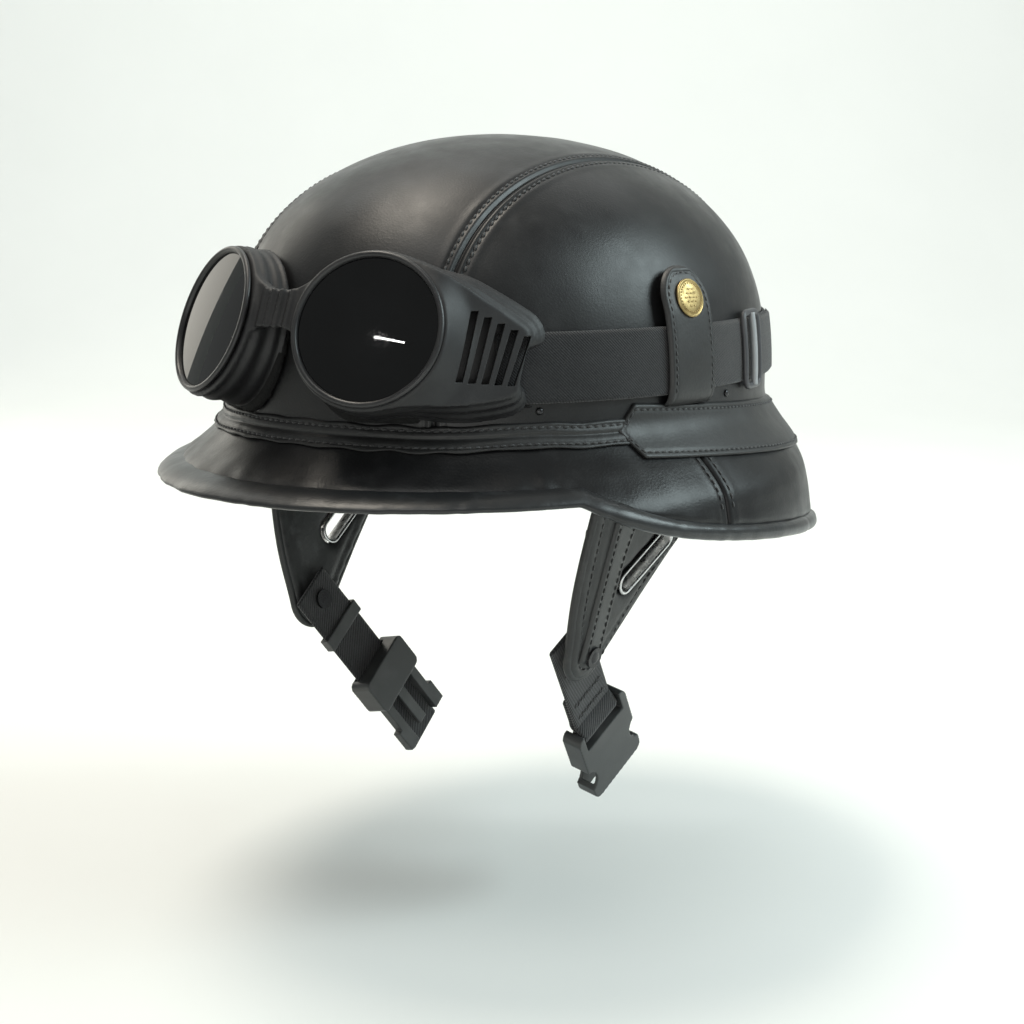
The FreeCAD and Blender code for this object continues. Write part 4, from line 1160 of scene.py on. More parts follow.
def flap_edge():
    """Closed outline of a flap as (y, z): top, full front edge, round tip, slanting rear edge."""
    front = spline([(-52, -1.8), (-58, 0.62 * PIVOT_Z), (PIVOT_Y - 11.5, PIVOT_Z)], 60)
    turn = np.linspace(math.pi, 2 * math.pi - 0.3, 40)
    tip = np.stack([PIVOT_Y + 11.5 * np.cos(turn), PIVOT_Z + 11.5 * np.sin(turn)], 1)
    rear = spline([tip[-1], (3.0, 0.62 * PIVOT_Z), (30.0, 0.32 * PIVOT_Z), (30.0, -1.8)], 80)
    return front, tip, rear


def distance_to(points, line):
    """Shortest distance from (y, z) points to a polyline."""
    a, b = line[:-1], line[1:]
    best = np.full(len(points), 1e9)
    for p, q in zip(a, b):
        d = q - p
        t = np.clip(((points - p) @ d) / max(d @ d, 1e-9), 0, 1)
        best = np.minimum(best, np.linalg.norm(points - p - t[:, None] * d, axis=1))
    return best


def slot_distance(points):
    """Distance from (y, z) points to the middle line of the hearing slot."""
    return distance_to(points, np.array(SLOT_ENDS))


def open_slot(points):
    """Points (y, z) nearer the slot's middle line than its cut edge, moved out to that edge."""
    first, last = np.array(SLOT_ENDS)
    run = last - first
    share = np.clip((points - first) @ run / (run @ run), 0, 1)
    foot = first + share[:, None] * run
    gap = points - foot
    length = np.linalg.norm(gap, axis=1, keepdims=True)
    return foot + unit(gap) * np.maximum(length, SLOT_CUT)


def make_flap(side):
    """Padded leather flap: crowned between its edges, pressed down at its seams and slot."""
    mirror = side == "right"
    voxel = 1.5
    pad = remeshed("ear_flap_pad_" + side, [nodes["ear_flap_" + side]], voxel, 6, 0.6)
    points = vertex_array(pad)
    flat = unhang(flip(points) if mirror else points)
    flat[:, 1:] = open_slot(flat[:, 1:])
    front, tip, rear = flap_edge()
    line = np.concatenate([front, tip, rear, front[:1]])
    yz = flat[:, 1:]
    edge = distance_to(yz, line)
    slot = slot_distance(yz) - 5.4
    near = np.minimum(edge, slot * 1.6)
    crown = np.sqrt(np.clip(1 - (1 - np.clip(near / 9.0, 0, 1)) ** 2, 0, 1))
    seam = groove(edge - 5.2, 0.9, 1.2) * (edge > 0.5)
    share = 0.42 + 0.58 * crown
    wrinkle = 0.35 * value_noise(points * np.array([1, 1, 0.6]), 8.0, 71)
    wrinkle = wrinkle + 0.4 * value_noise(points, 19.0, 73)
    side_of = np.sign(flat[:, 0])
    thick = np.abs(flat[:, 0]) * share + (seam + wrinkle * crown) * (np.abs(flat[:, 0]) > 1.5)
    flat[:, 0] = side_of * thick
    moved = hang(flat)
    set_vertices(pad, flip(moved) if mirror else moved)
    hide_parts("ear_flap_" + side)

    def placed(p):
        return flip(hang(p)) if mirror else hang(p)

    def rim_line(yz_line, x):
        return np.concatenate([np.full((len(yz_line), 1), x), yz_line], axis=1)

    outline = np.concatenate([front, tip[1:], rear[1:]])
    middle = outline.mean(0)
    away = unit(outline - middle)
    cord = rim_line(outline - away * 0.6, 0.0)
    out = rim_line(away, 0.0)
    path = placed(cord)
    direction = placed(cord + out) - path
    piping = path_tube("flap_piping_" + side, path, 1.9, direction)
    run = np.concatenate([front, tip[1:], rear[1:60]])
    inner = run - unit(run - middle) * 5.0
    inner = inner[slot_distance(inner) > 7.5]
    row = placed(rim_line(inner, 2.45))
    normal = placed(rim_line(inner, 3.45)) - row
    sewn = thread("flap_stitching_" + side, [(row, normal)], pitch=3.6, stitch=2.6, radius=0.4)
    return pad, piping, sewn, placed, rim_line


def make_facing(side, placed):
    """Smoother leather strap sewn down the middle of a flap, from the hinge to the rivet."""
    v = np.linspace(-1, 1, 21)[None]
    t = np.linspace(0, 1, 80)[:, None]
    left = spline([(-38, -2.0), (-46, -48.0), (-51.0, PIVOT_Z - 2.0)], 80)
    right = spline([(-14, -2.0), (-31, -44.0), (-38.0, PIVOT_Z - 3.0)], 80)
    middle = (left + right) / 2
    half = (right - left) / 2
    yz = middle[:, None] + half[:, None] * v[..., None]
    inset = (1 - np.abs(v)) * np.linalg.norm(half, axis=1)[:, None]
    end = np.minimum(inset, (1 - t) * 90.0)
    x = 3.6 + 1.5 * np.sqrt(np.clip(end / 1.2, 0, 1)) + groove(inset - 2.6, 0.3, 0.7)
    x = x - 1.2 * np.exp(-t * 10)
    top = np.concatenate([x[..., None], yz], -1)
    under = np.concatenate([np.full(x.shape, 2.0)[..., None], yz], -1)
    strap = slab("flap_facing_strap_" + side, placed(top), placed(under))
    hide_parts("flap_facing_" + side)
    rows = []
    for sign in (-1, 1):
        line = middle + half * sign * (1 - 2.6 / np.linalg.norm(half, axis=1))[:, None]
        line = line[6:-4]
        row = placed(np.concatenate([np.full((len(line), 1), 5.0), line], 1))
        normal = placed(np.concatenate([np.full((len(line), 1), 6.0), line], 1)) - row
        rows.append((row, normal))
    sewn = thread("facing_stitching_" + side, rows, pitch=3.2, stitch=2.3, radius=0.36)
    return strap, sewn


def make_slot_rim(side, placed):
    """Polished metal rim round the hearing slot, rolled over both faces."""
    (y0, z0), (y1, z1) = SLOT_ENDS
    lean = math.atan2(z1 - z0, y1 - y0)
    back = np.linspace(lean + math.pi / 2, lean + 1.5 * math.pi, 40)
    ahead = np.linspace(lean - math.pi / 2, lean + math.pi / 2, 40)
    centres = np.concatenate([np.repeat([[y0, z0]], 40, 0), np.repeat([[y1, z1]], 40, 0)])
    turn = np.concatenate([back, ahead])
    away = np.stack([np.cos(turn), np.sin(turn)], 1)
    centres = np.concatenate([centres, centres[:1]])
    away = np.concatenate([away, away[:1]])
    middle = centres + away * 4.7
    middle, away = middle[:-1], away[:-1]
    profile = np.array([(-0.1, -3.2), (0.9, -3.3), (1.1, -3.7), (0.5, -4.1), (-0.3, -3.9), (-0.6, -3.2),
                        (-0.6, 0.0), (-0.6, 3.2), (-0.3, 3.9), (0.5, 4.1), (1.1, 3.7), (0.9, 3.3),
                        (-0.1, 3.2), (-0.2, 0.0)])
    path = placed(np.concatenate([np.zeros((len(middle), 1)), middle], 1))
    side_dir = placed(np.concatenate([np.zeros((len(middle), 1)), middle + away], 1)) - path
    out_dir = placed(np.concatenate([np.ones((len(middle), 1)), middle], 1)) - path
    rim = tube("slot_eyelet_" + side, path, profile, side_dir, out_dir, closed=True)
    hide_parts("slot_rim_" + side)
    return rim


# ---------------------------------------------------------------- chin straps and buckle

def band_along(name, centre_line, up, half_width, thick, place, count=21):
    """Woven strap along a line of (x, z) points in the strap frame, with softened edges."""
    line = np.asarray(centre_line, float)
    ahead = unit(np.gradient(line, axis=0))
    normal = np.stack([-ahead[:, 1], ahead[:, 0]], 1) * up
    v = np.linspace(-1, 1, count)[None]
    edge = np.sqrt(np.clip((1 - np.abs(v)) * half_width / 0.9, 0, 1))
    half = thick / 2 * (0.4 + 0.6 * edge)
    y = np.broadcast_to(v * half_width, (len(line), count))

    def sheet_at(sign):
        x = line[:, None, 0] + sign * normal[:, None, 0] * half
        z = line[:, None, 1] + sign * normal[:, None, 1] * half
        return place(np.stack([x, y, z], -1))
    length = np.concatenate([[0], np.cumsum(np.linalg.norm(np.diff(line, axis=0), axis=1))])
    uv = (np.broadcast_to(length[:, None], y.shape), y)
    return slab(name, sheet_at(1), sheet_at(-1), uv=uv)


def bartack(name, place, x, z, lines=9, half_width=9.5):
    """Dense zigzag of thread across a strap, in a low box."""
    zig = np.arange(lines * 2 + 1)
    y = np.linspace(-half_width, half_width, lines * 2 + 1)
    path = np.stack([np.full(len(y), x), y, z + 1.5 * (zig % 2) - 0.75], 1)
    path = np.concatenate([spline(path, 160)])
    normal = place(path + np.array([1.0, 0, 0]) * np.sign(x - WEB_X)) - place(path)
    return thread(name, [(place(path), normal)], pitch=1.5, stitch=1.7, radius=0.32, slant=0.0)


def make_webbing(side):
    """Chin strap from its rivet down; the left one is sewn in a loop round the buckle's bar."""
    mirror = side == "right"

    def place(p):
        return flip(swing(p)) if mirror else swing(p)
    sewn = []
    if mirror:
        t = np.linspace(0, 1, 160)
        z = 9.0 - t * (WEB_DROP + 20.0 + 24.0 + 9.0)
        x = np.full(160, WEB_X)
        strap = band_along("chin_strap_right", np.stack([x, z], 1), 1, WEB_HALF, WEB_THICK, place)
    else:
        radius = 1.95 + WEB_THICK / 2
        down = np.linspace(9.0, -WEB_DROP + 7.0, 90)
        bend = np.linspace(0, 2 * math.pi * 0.86, 70)
        loop = np.stack([WEB_X + radius * np.cos(bend), -WEB_DROP - radius * np.sin(bend)], 1)
        start = np.stack([np.full(len(down), WEB_X), down], 1)
        neck = spline([start[-1], (WEB_X + 1.4, -WEB_DROP + 4.5), loop[0]], 16)
        back = spline([loop[-1], (WEB_X - 2.25, -WEB_DROP + 6.0), (WEB_X - 2.15, -WEB_DROP + 12.0),
                       (WEB_X - 2.15, -WEB_DROP + 24.0)], 40)
        line = np.concatenate([start, neck[1:], loop[1:], back[1:]])
        strap = band_along("chin_strap_left", line, 1, WEB_HALF, WEB_THICK * 0.95, place)
        face = WEB_X + WEB_THICK / 2
        for z in (-WEB_DROP + 12.0, -WEB_DROP + 20.0):
            sewn.append(bartack("chin_bartack_left_%d" % len(sewn), place, face + 0.05, z))
    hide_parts("chin_webbing_" + side)
    face = WEB_X + WEB_THICK / 2
    sewn.append(bartack("chin_bartack_top_" + side, place, face + 0.05, -9.0))
    return strap, sewn, place


def make_buckles():
    """Moulded buckle halves, prongs and keeper with softened edges."""
    fine = 0.36
    done = {}
    for name, node, voxel in (("buckle_socket_moulding", "buckle_socket", fine),
                              ("buckle_plug_moulding", "buckle_plug", fine),
                              ("prong_rear_moulding", "plug_prong_rear", fine * 0.8),
                              ("prong_front_moulding", "plug_prong_front", fine * 0.8),
                              ("keeper_moulding", "webbing_keeper", fine)):
        piece = remeshed(name, [nodes[node]], voxel, 4, 0.6)
        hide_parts(node)
        done[node] = piece
    return done


def make_flap_rivets(side, placed):
    """Domed rivet through the flap."""
    dome = [(0.0, 1.6), (1.5, 1.5), (2.9, 1.15), (4.0, 0.6), (4.6, 0.0), (4.6, -0.4), (0.0, -0.6)]
    centre = placed(np.array([FLAP_THICK / 2 + 1.6, PIVOT_Y, PIVOT_Z]))
    axis = placed(np.array([FLAP_THICK / 2 + 2.6, PIVOT_Y, PIVOT_Z])) - centre
    return revolve("flap_rivet_cap_" + side, centre, axis, dome, 40)


# ---------------------------------------------------------------- inside of the helmet

def make_liner():
    """Cloth over the foam's lower edge, padded head band, and the quilted crown liner."""
    pieces = {}
    theta = np.linspace(0, 2 * math.pi, 420, endpoint=False)[:, None]
    s = np.linspace(0, 1, 22)[None]
    out = -5.6 - 17.0 * s
    z = -3.8 + 1.8 * (np.abs(2 * s - 1) ** 4) + 0.25 * value_noise(at(theta, 0.0 * s), 14.0, 81)
    ring = slab("foam_edge_cloth", at(theta, z, out), at(theta, np.full(z.shape, 9.0), out), wrap_rows=True)
    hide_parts("foam_liner")
    pieces["cloth"] = [ring]

    t = np.linspace(0, 1, 40)[None]
    z = -3.6 + 29.2 * t
    puff = 1.6 * np.sqrt(np.clip(1 - (2 * t - 1) ** 4, 0, 1))
    bumps = 0.8 * np.abs(np.sin(theta * 14)) ** 0.5 - 0.5
    inner = -24.2 - puff - bumps * np.sqrt(np.clip(1 - (2 * t - 1) ** 4, 0, 1))
    outer_side = at(theta, z + 0 * theta, -23.2 + 0 * inner)
    band = slab("padded_head_band", at(theta, z, inner), outer_side, wrap_rows=True)
    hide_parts("head_band")
    pieces["leather"] = [band]

    lean = np.linspace(0.015, 1, 90)[None] ** 0.9
    top = CROWN_TOP - CROWN_BASE - 24.5
    q = np.maximum(np.cos(lean * math.pi / 2 * 0.875), 0.0)
    ribs = np.abs(np.sin(theta * 6)) ** 0.45
    rings = np.abs(np.sin(lean * 3 * math.pi)) ** 0.45
    swell = 1.5 * ribs * rings
    height = CROWN_BASE + top * q ** (2 / FULLNESS)
    shrink = np.sin(lean * math.pi / 2 * 0.875)

    def dome_at(grow):
        side, front, rear = [a - 25.2 + grow for a in (CROWN_SIDE, CROWN_FRONT, CROWN_REAR)]
        length = np.where(np.cos(theta) > 0, front, rear)
        return np.stack([side * shrink * np.sin(theta), -length * shrink * np.cos(theta),
                         height + grow + 0 * theta], -1)
    quilt = slab("quilted_crown_liner", dome_at(-swell), dome_at(0 * swell + 1.6), wrap_rows=True)
    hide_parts("comfort_liner")
    pieces["cloth"].append(quilt)
    return pieces


# ---------------------------------------------------------------- finishes

def new_group(name, inputs, outputs):
    """Empty shader group with named inputs and outputs."""
    tree = bpy.data.node_groups.new(name, "ShaderNodeTree")
    for label, kind, value in inputs:
        socket = tree.interface.new_socket(name=label, in_out="INPUT", socket_type=kind)
        socket.default_value = value
    for label, kind in outputs:
        tree.interface.new_socket(name=label, in_out="OUTPUT", socket_type=kind)
    return tree, tree.nodes.new("NodeGroupInput"), tree.nodes.new("NodeGroupOutput")


def put(tree, kind, links=(), **values):
    """Adds a node; values are sockets by name or properties, links pair a socket with a source."""
    node = tree.nodes.new(kind)
    for key, value in values.items():
        if hasattr(node, key):
            setattr(node, key, value)
        else:
            node.inputs[key.replace("_", " ")].default_value = value
    for key, source in links:
        tree.links.new(source, node.inputs[key])
    return node


def maths(tree, operation, a, b=None):
    """One Math node; a and b are sockets or numbers."""
    node = tree.nodes.new("ShaderNodeMath")
    node.operation = operation
    for i, value in enumerate((a, b)):
        if value is None:
            continue
        if isinstance(value, (int, float)):
            node.inputs[i].default_value = value
        else:
            tree.links.new(value, node.inputs[i])
    return node.outputs[0]


def span(tree, value, low, high, to_low=0.0, to_high=1.0):
    """Value between low and high, carried to another span and clamped."""
    node = put(tree, "ShaderNodeMapRange", [("Value", value)], From_Min=low, From_Max=high,
               To_Min=to_low, To_Max=to_high)
    return node.outputs["Result"]


def blend_colour(tree, factor, a, b):
    """Colour between two sockets or fixed colours."""
    node = tree.nodes.new("ShaderNodeMix")
    node.data_type = "RGBA"
    tree.links.new(factor, node.inputs["Factor"])
    for key, value in (("A", a), ("B", b)):
        socket = [s for s in node.inputs if s.name == key and s.type == "RGBA"][0]
        if isinstance(value, tuple):
            socket.default_value = value
        else:
            tree.links.new(value, socket)
    return [s for s in node.outputs if s.type == "RGBA"][0]


COLOUR, NUMBER = "NodeSocketColor", "NodeSocketFloat"


def leather_group():
    """Hide: fine pores and creases, slow colour change, and lighter rubbed places."""
    tree, given, result = new_group(
        "hide", [("Colour", COLOUR, (0, 0, 0, 1)), ("Rubbed", COLOUR, (0, 0, 0, 1)),
                 ("Pore", NUMBER, 900.0), ("Gloss", NUMBER, 0.4), ("Wear", NUMBER, 0.3)],
        [("Colour", COLOUR), ("Roughness", NUMBER), ("Height", NUMBER)])
    place = tree.nodes.new("ShaderNodeTexCoord").outputs["Object"]
    slow = put(tree, "ShaderNodeTexNoise", [("Vector", place)], Scale=26.0, Detail=4.0).outputs["Fac"]
    patch = put(tree, "ShaderNodeTexNoise", [("Vector", place)], Scale=75.0, Detail=6.0,
                Roughness=0.62).outputs["Fac"]
    pores = put(tree, "ShaderNodeTexVoronoi", [("Vector", place), ("Scale", given.outputs["Pore"])],
                feature="SMOOTH_F1", Smoothness=0.6).outputs["Distance"]
    crease = put(tree, "ShaderNodeTexNoise", [("Vector", place)], Scale=420.0, Detail=5.0,
                 Roughness=0.6).outputs["Fac"]
    rub = span(tree, patch, 0.55, 0.78)
    rub = maths(tree, "MULTIPLY", rub, given.outputs["Wear"])
    colour = blend_colour(tree, rub, given.outputs["Colour"], given.outputs["Rubbed"])
    shade = span(tree, slow, 0.3, 0.7, 0.0, 0.22)
    colour = blend_colour(tree, shade, colour, (0.004, 0.004, 0.005, 1))
    rough = maths(tree, "ADD", given.outputs["Gloss"], span(tree, patch, 0.25, 0.8, -0.07, 0.11))
    rough = maths(tree, "ADD", rough, span(tree, slow, 0.3, 0.7, -0.05, 0.05))
    height = maths(tree, "MULTIPLY", maths(tree, "POWER", pores, 1.4), 0.62)
    height = maths(tree, "ADD", height, maths(tree, "MULTIPLY", crease, 0.55))
    tree.links.new(colour, result.inputs["Colour"])
    tree.links.new(rough, result.inputs["Roughness"])
    tree.links.new(height, result.inputs["Height"])
    return tree


def weave_group():
    """Twill: slanting ribs on a woven strip's own length and width, with crossing yarns; the colour has a
    painted highlight on the rib crests and random lighter patches.
    """
    tree, given, result = new_group(
        "twill", [("Colour", COLOUR, (0, 0, 0, 1)), ("Light", COLOUR, (0, 0, 0, 1)),
                  ("Rib", NUMBER, 1.1), ("Yarn", NUMBER, 0.55)],
        [("Colour", COLOUR), ("Roughness", NUMBER), ("Height", NUMBER)])
    strip = put(tree, "ShaderNodeUVMap", uv_map="along").outputs["UV"]
    parts = put(tree, "ShaderNodeSeparateXYZ", [("Vector", strip)])
    along, across = parts.outputs["X"], parts.outputs["Y"]
    diagonal = maths(tree, "DIVIDE", maths(tree, "ADD", along, across), given.outputs["Rib"])
    rib = maths(tree, "SINE", maths(tree, "MULTIPLY", diagonal, math.tau))
    yarn = maths(tree, "DIVIDE", maths(tree, "SUBTRACT", along, across), given.outputs["Yarn"])
    yarn = maths(tree, "SINE", maths(tree, "MULTIPLY", yarn, math.tau))
    height = maths(tree, "ADD", maths(tree, "MULTIPLY", rib, 0.35), maths(tree, "MULTIPLY", yarn, 0.16))
    place = tree.nodes.new("ShaderNodeTexCoord").outputs["Object"]
    fuzz = put(tree, "ShaderNodeTexNoise", [("Vector", place)], Scale=1400.0, Detail=3.0).outputs["Fac"]
    height = maths(tree, "ADD", height, maths(tree, "MULTIPLY", fuzz, 0.25))
    slow = put(tree, "ShaderNodeTexNoise", [("Vector", place)], Scale=60.0, Detail=3.0).outputs["Fac"]
    # Colour: painted highlight on the rib crests, following the rib's height, plus random lighter patches of
    # tone.
    rib_highlight_and_patches = maths(tree, "ADD", span(tree, rib, -0.6, 1.0, 0.0, 0.6), span(tree, slow, 0.4, 0.75, 0.0, 0.35))
    tree.links.new(blend_colour(tree, rib_highlight_and_patches, given.outputs["Colour"], given.outputs["Light"]),
                   result.inputs["Colour"])
    tree.links.new(span(tree, fuzz, 0.3, 0.7, 0.66, 0.9), result.inputs["Roughness"])
    tree.links.new(height, result.inputs["Height"])
    return tree


def moulded_group():
    """Moulded rubber or plastic: fine stipple, faint dust and a slow change of gloss."""
    tree, given, result = new_group(
        "moulded", [("Colour", COLOUR, (0, 0, 0, 1)), ("Dust", COLOUR, (0, 0, 0, 1)),
                    ("Gloss", NUMBER, 0.5), ("Dusting", NUMBER, 0.3), ("Stipple", NUMBER, 1500.0)],
        [("Colour", COLOUR), ("Roughness", NUMBER), ("Height", NUMBER)])
    place = tree.nodes.new("ShaderNodeTexCoord").outputs["Object"]
    fine = put(tree, "ShaderNodeTexNoise", [("Vector", place), ("Scale", given.outputs["Stipple"])],
               Detail=3.0).outputs["Fac"]
    slow = put(tree, "ShaderNodeTexNoise", [("Vector", place)], Scale=48.0, Detail=5.0).outputs["Fac"]
    dusty = maths(tree, "MULTIPLY", span(tree, slow, 0.48, 0.75), given.outputs["Dusting"])
    tree.links.new(blend_colour(tree, dusty, given.outputs["Colour"], given.outputs["Dust"]),
                   result.inputs["Colour"])
    rough = maths(tree, "ADD", given.outputs["Gloss"], span(tree, slow, 0.3, 0.7, -0.08, 0.10))
    tree.links.new(maths(tree, "ADD", rough, span(tree, fine, 0.3, 0.7, -0.03, 0.03)),
                   result.inputs["Roughness"])
    tree.links.new(fine, result.inputs["Height"])
    return tree


def metal_group():
    """Metal with handling marks: dull patches, dark tarnish and fine scratches."""
    tree, given, result = new_group(
        "handled_metal", [("Colour", COLOUR, (1, 1, 1, 1)), ("Tarnish", COLOUR, (0, 0, 0, 1)),
                          ("Gloss", NUMBER, 0.25), ("Age", NUMBER, 0.4)],
        [("Colour", COLOUR), ("Roughness", NUMBER), ("Height", NUMBER)])
    place = tree.nodes.new("ShaderNodeTexCoord").outputs["Object"]
    patch = put(tree, "ShaderNodeTexNoise", [("Vector", place)], Scale=230.0, Detail=6.0,
                Roughness=0.6).outputs["Fac"]
    stretch = put(tree, "ShaderNodeMapping", [("Vector", place)]).outputs["Vector"]
    stretch.node.inputs["Scale"].default_value = (1.0, 9.0, 3.0)
    scratch = put(tree, "ShaderNodeTexNoise", [("Vector", stretch)], Scale=320.0, Detail=2.0).outputs["Fac"]
    old = maths(tree, "MULTIPLY", span(tree, patch, 0.45, 0.72), given.outputs["Age"])
    tree.links.new(blend_colour(tree, old, given.outputs["Colour"], given.outputs["Tarnish"]),
                   result.inputs["Colour"])
    rough = maths(tree, "ADD", given.outputs["Gloss"], span(tree, patch, 0.35, 0.75, -0.06, 0.28))
    tree.links.new(rough, result.inputs["Roughness"])
    tree.links.new(scratch, result.inputs["Height"])
    return tree


def grouped(name, group, values, bump, specular=0.5, metallic=0.0, coat=0.0, coat_rough=0.2, sheen=0.0):
    """Material whose colour, roughness and height come from one of the finish groups."""
    material = bpy.data.materials.new(name)
    material.use_nodes = True
    tree = material.node_tree
    shader = tree.nodes["Principled BSDF"]
    finish = tree.nodes.new("ShaderNodeGroup")
    finish.node_tree = group
    for key, value in values.items():
        finish.inputs[key].default_value = (*value, 1) if isinstance(value, tuple) else value
    relief = tree.nodes.new("ShaderNodeBump")
    relief.inputs["Strength"].default_value = 1.0
    relief.inputs["Distance"].default_value = bump / 1000
    tree.links.new(finish.outputs["Height"], relief.inputs["Height"])
    tree.links.new(finish.outputs["Colour"], shader.inputs["Base Color"])
    tree.links.new(finish.outputs["Roughness"], shader.inputs["Roughness"])
    tree.links.new(relief.outputs["Normal"], shader.inputs["Normal"])
    shader.inputs["Specular IOR Level"].default_value = specular
    shader.inputs["Metallic"].default_value = metallic
    shader.inputs["Coat Weight"].default_value = coat
    shader.inputs["Coat Roughness"].default_value = coat_rough
    shader.inputs["Sheen Weight"].default_value = sheen
    shader.inputs["Sheen Roughness"].default_value = 0.5
    return material


def plain_floor():
    """Matt pale studio surface with barely visible mottling."""
    material = bpy.data.materials.new("studio_surface")
    material.use_nodes = True
    tree = material.node_tree
    shader = tree.nodes["Principled BSDF"]
    place = tree.nodes.new("ShaderNodeTexCoord").outputs["Object"]
    noise = put(tree, "ShaderNodeTexNoise", [("Vector", place)], Scale=6.0, Detail=4.0).outputs["Fac"]
    colour = blend_colour(tree, noise, (0.82, 0.83, 0.81, 1), (0.86, 0.87, 0.85, 1))
    tree.links.new(colour, shader.inputs["Base Color"])
    shader.inputs["Roughness"].default_value = 0.85
    return material


def make_finishes():
    """Every material of the helmet, by name."""
    hide, twill, moulded, metal = leather_group(), weave_group(), moulded_group(), metal_group()
    black, rubbed = (0.007, 0.007, 0.0075), (0.026, 0.026, 0.027)
    looks = {
        "crown_leather": (
            hide, {"Colour": black, "Rubbed": rubbed, "Pore": 1150.0, "Gloss": 0.40, "Wear": 0.35},
            0.055, {"specular": 0.36, "coat": 0.10, "coat_rough": 0.32}),
        "brim_leather": (
            hide, {"Colour": black, "Rubbed": rubbed, "Pore": 1000.0, "Gloss": 0.37, "Wear": 0.45},
            0.07, {"specular": 0.28, "coat": 0.06, "coat_rough": 0.30}),
        "band_leather": (
            hide, {"Colour": (0.013, 0.013, 0.013), "Rubbed": (0.05, 0.05, 0.05),
                   "Pore": 820.0, "Gloss": 0.48, "Wear": 0.5},
            0.09, {"coat": 0.08, "coat_rough": 0.35}),
        "edge_roll": (
            hide, {"Colour": (0.014, 0.015, 0.016), "Rubbed": (0.07, 0.075, 0.08),
                   "Pore": 700.0, "Gloss": 0.36, "Wear": 0.5},
            0.07, {"specular": 0.4, "coat": 0.20, "coat_rough": 0.25}),
        "flap_leather": (
            hide, {"Colour": (0.020, 0.021, 0.021), "Rubbed": (0.085, 0.088, 0.088),
                   "Pore": 620.0, "Gloss": 0.50, "Wear": 0.7},
            0.11, {"coat": 0.08, "coat_rough": 0.4}),
        "facing_leather": (
            hide, {"Colour": (0.030, 0.032, 0.032), "Rubbed": (0.11, 0.115, 0.115),
                   "Pore": 900.0, "Gloss": 0.42, "Wear": 0.6},
            0.06, {"coat": 0.12, "coat_rough": 0.35}),
        "lining_leather": (
            hide, {"Colour": (0.012, 0.012, 0.012), "Rubbed": (0.04, 0.04, 0.04),
                   "Pore": 750.0, "Gloss": 0.58, "Wear": 0.4},
            0.08, {}),
        "thread": (
            moulded, {"Colour": (0.020, 0.020, 0.021), "Dust": (0.10, 0.10, 0.10),
                      "Gloss": 0.55, "Dusting": 0.4, "Stipple": 3800.0},
            0.05, {"sheen": 0.2}),
        "elastic": (
            twill, {"Colour": (0.004, 0.004, 0.005), "Light": (0.020, 0.020, 0.022),
                    "Rib": 1.25, "Yarn": 0.6},
            0.16, {"specular": 0.3, "sheen": 0.25}),
        "webbing": (
            twill, {"Colour": (0.010, 0.010, 0.011), "Light": (0.055, 0.056, 0.058),
                    "Rib": 1.7, "Yarn": 0.8},
            0.26, {"specular": 0.35, "sheen": 0.2}),
        "liner_cloth": (
            moulded, {"Colour": (0.018, 0.018, 0.020), "Dust": (0.05, 0.05, 0.055),
                      "Gloss": 0.85, "Dusting": 0.6, "Stipple": 2200.0},
            0.25, {"specular": 0.2, "sheen": 0.5}),
        "goggle_rubber": (
            moulded, {"Colour": (0.010, 0.010, 0.011), "Dust": (0.05, 0.05, 0.05),
                      "Gloss": 0.52, "Dusting": 0.35, "Stipple": 1700.0},
            0.04, {"specular": 0.45}),
        "gasket_foam": (
            moulded, {"Colour": (0.008, 0.008, 0.008), "Dust": (0.03, 0.03, 0.03),
                      "Gloss": 0.85, "Dusting": 0.4, "Stipple": 1300.0},
            0.22, {"specular": 0.2}),
        "bezel_plastic": (
            moulded, {"Colour": (0.011, 0.011, 0.012), "Dust": (0.05, 0.05, 0.05),
                      "Gloss": 0.34, "Dusting": 0.25, "Stipple": 2400.0},
            0.018, {"specular": 0.5}),
        "slider_plastic": (
            moulded, {"Colour": (0.05, 0.05, 0.055), "Dust": (0.14, 0.14, 0.14),
                      "Gloss": 0.42, "Dusting": 0.4, "Stipple": 1800.0},
            0.03, {}),
        "slider_bar": (
            moulded, {"Colour": (0.30, 0.31, 0.32), "Dust": (0.42, 0.42, 0.42),
                      "Gloss": 0.45, "Dusting": 0.5, "Stipple": 1800.0},
            0.03, {}),
        "buckle_plastic": (
            moulded, {"Colour": (0.033, 0.035, 0.035), "Dust": (0.10, 0.10, 0.10),
                      "Gloss": 0.40, "Dusting": 0.5, "Stipple": 2100.0},
            0.03, {"coat": 0.1, "coat_rough": 0.35}),
        "snap_brass": (
            metal, {"Colour": (0.42, 0.31, 0.14), "Tarnish": (0.10, 0.068, 0.028),
                    "Gloss": 0.34, "Age": 0.75},
            0.02, {"metallic": 1.0}),
        "rivet_steel": (
            metal, {"Colour": (0.05, 0.05, 0.052), "Tarnish": (0.03, 0.03, 0.03),
                    "Gloss": 0.28, "Age": 0.5},
            0.02, {"metallic": 1.0}),
        "slot_chrome": (
            metal, {"Colour": (0.66, 0.66, 0.66), "Tarnish": (0.30, 0.29, 0.28),
                    "Gloss": 0.24, "Age": 0.35},
            0.015, {"metallic": 1.0}),
        "smoked_lens": (
            moulded, {"Colour": (0.0015, 0.0016, 0.0018), "Dust": (0.008, 0.008, 0.009),
                      "Gloss": -0.07, "Dusting": 0.2, "Stipple": 900.0},
            0.0, {"specular": 0.32}),
        "shell_laminate": (
            moulded, {"Colour": (0.03, 0.03, 0.03), "Dust": (0.07, 0.07, 0.07),
                      "Gloss": 0.5, "Dusting": 0.4, "Stipple": 600.0},
            0.05, {}),
    }
    return {name: grouped(name, group, values, bump, **more)
            for name, (group, values, bump, more) in looks.items()}


def dress(piece, body, finish):
    """Gives a piece its finish and the body it moves with."""
    piece.data.materials.clear()
    piece.data.materials.append(finish)
    if body:
        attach(piece, body)


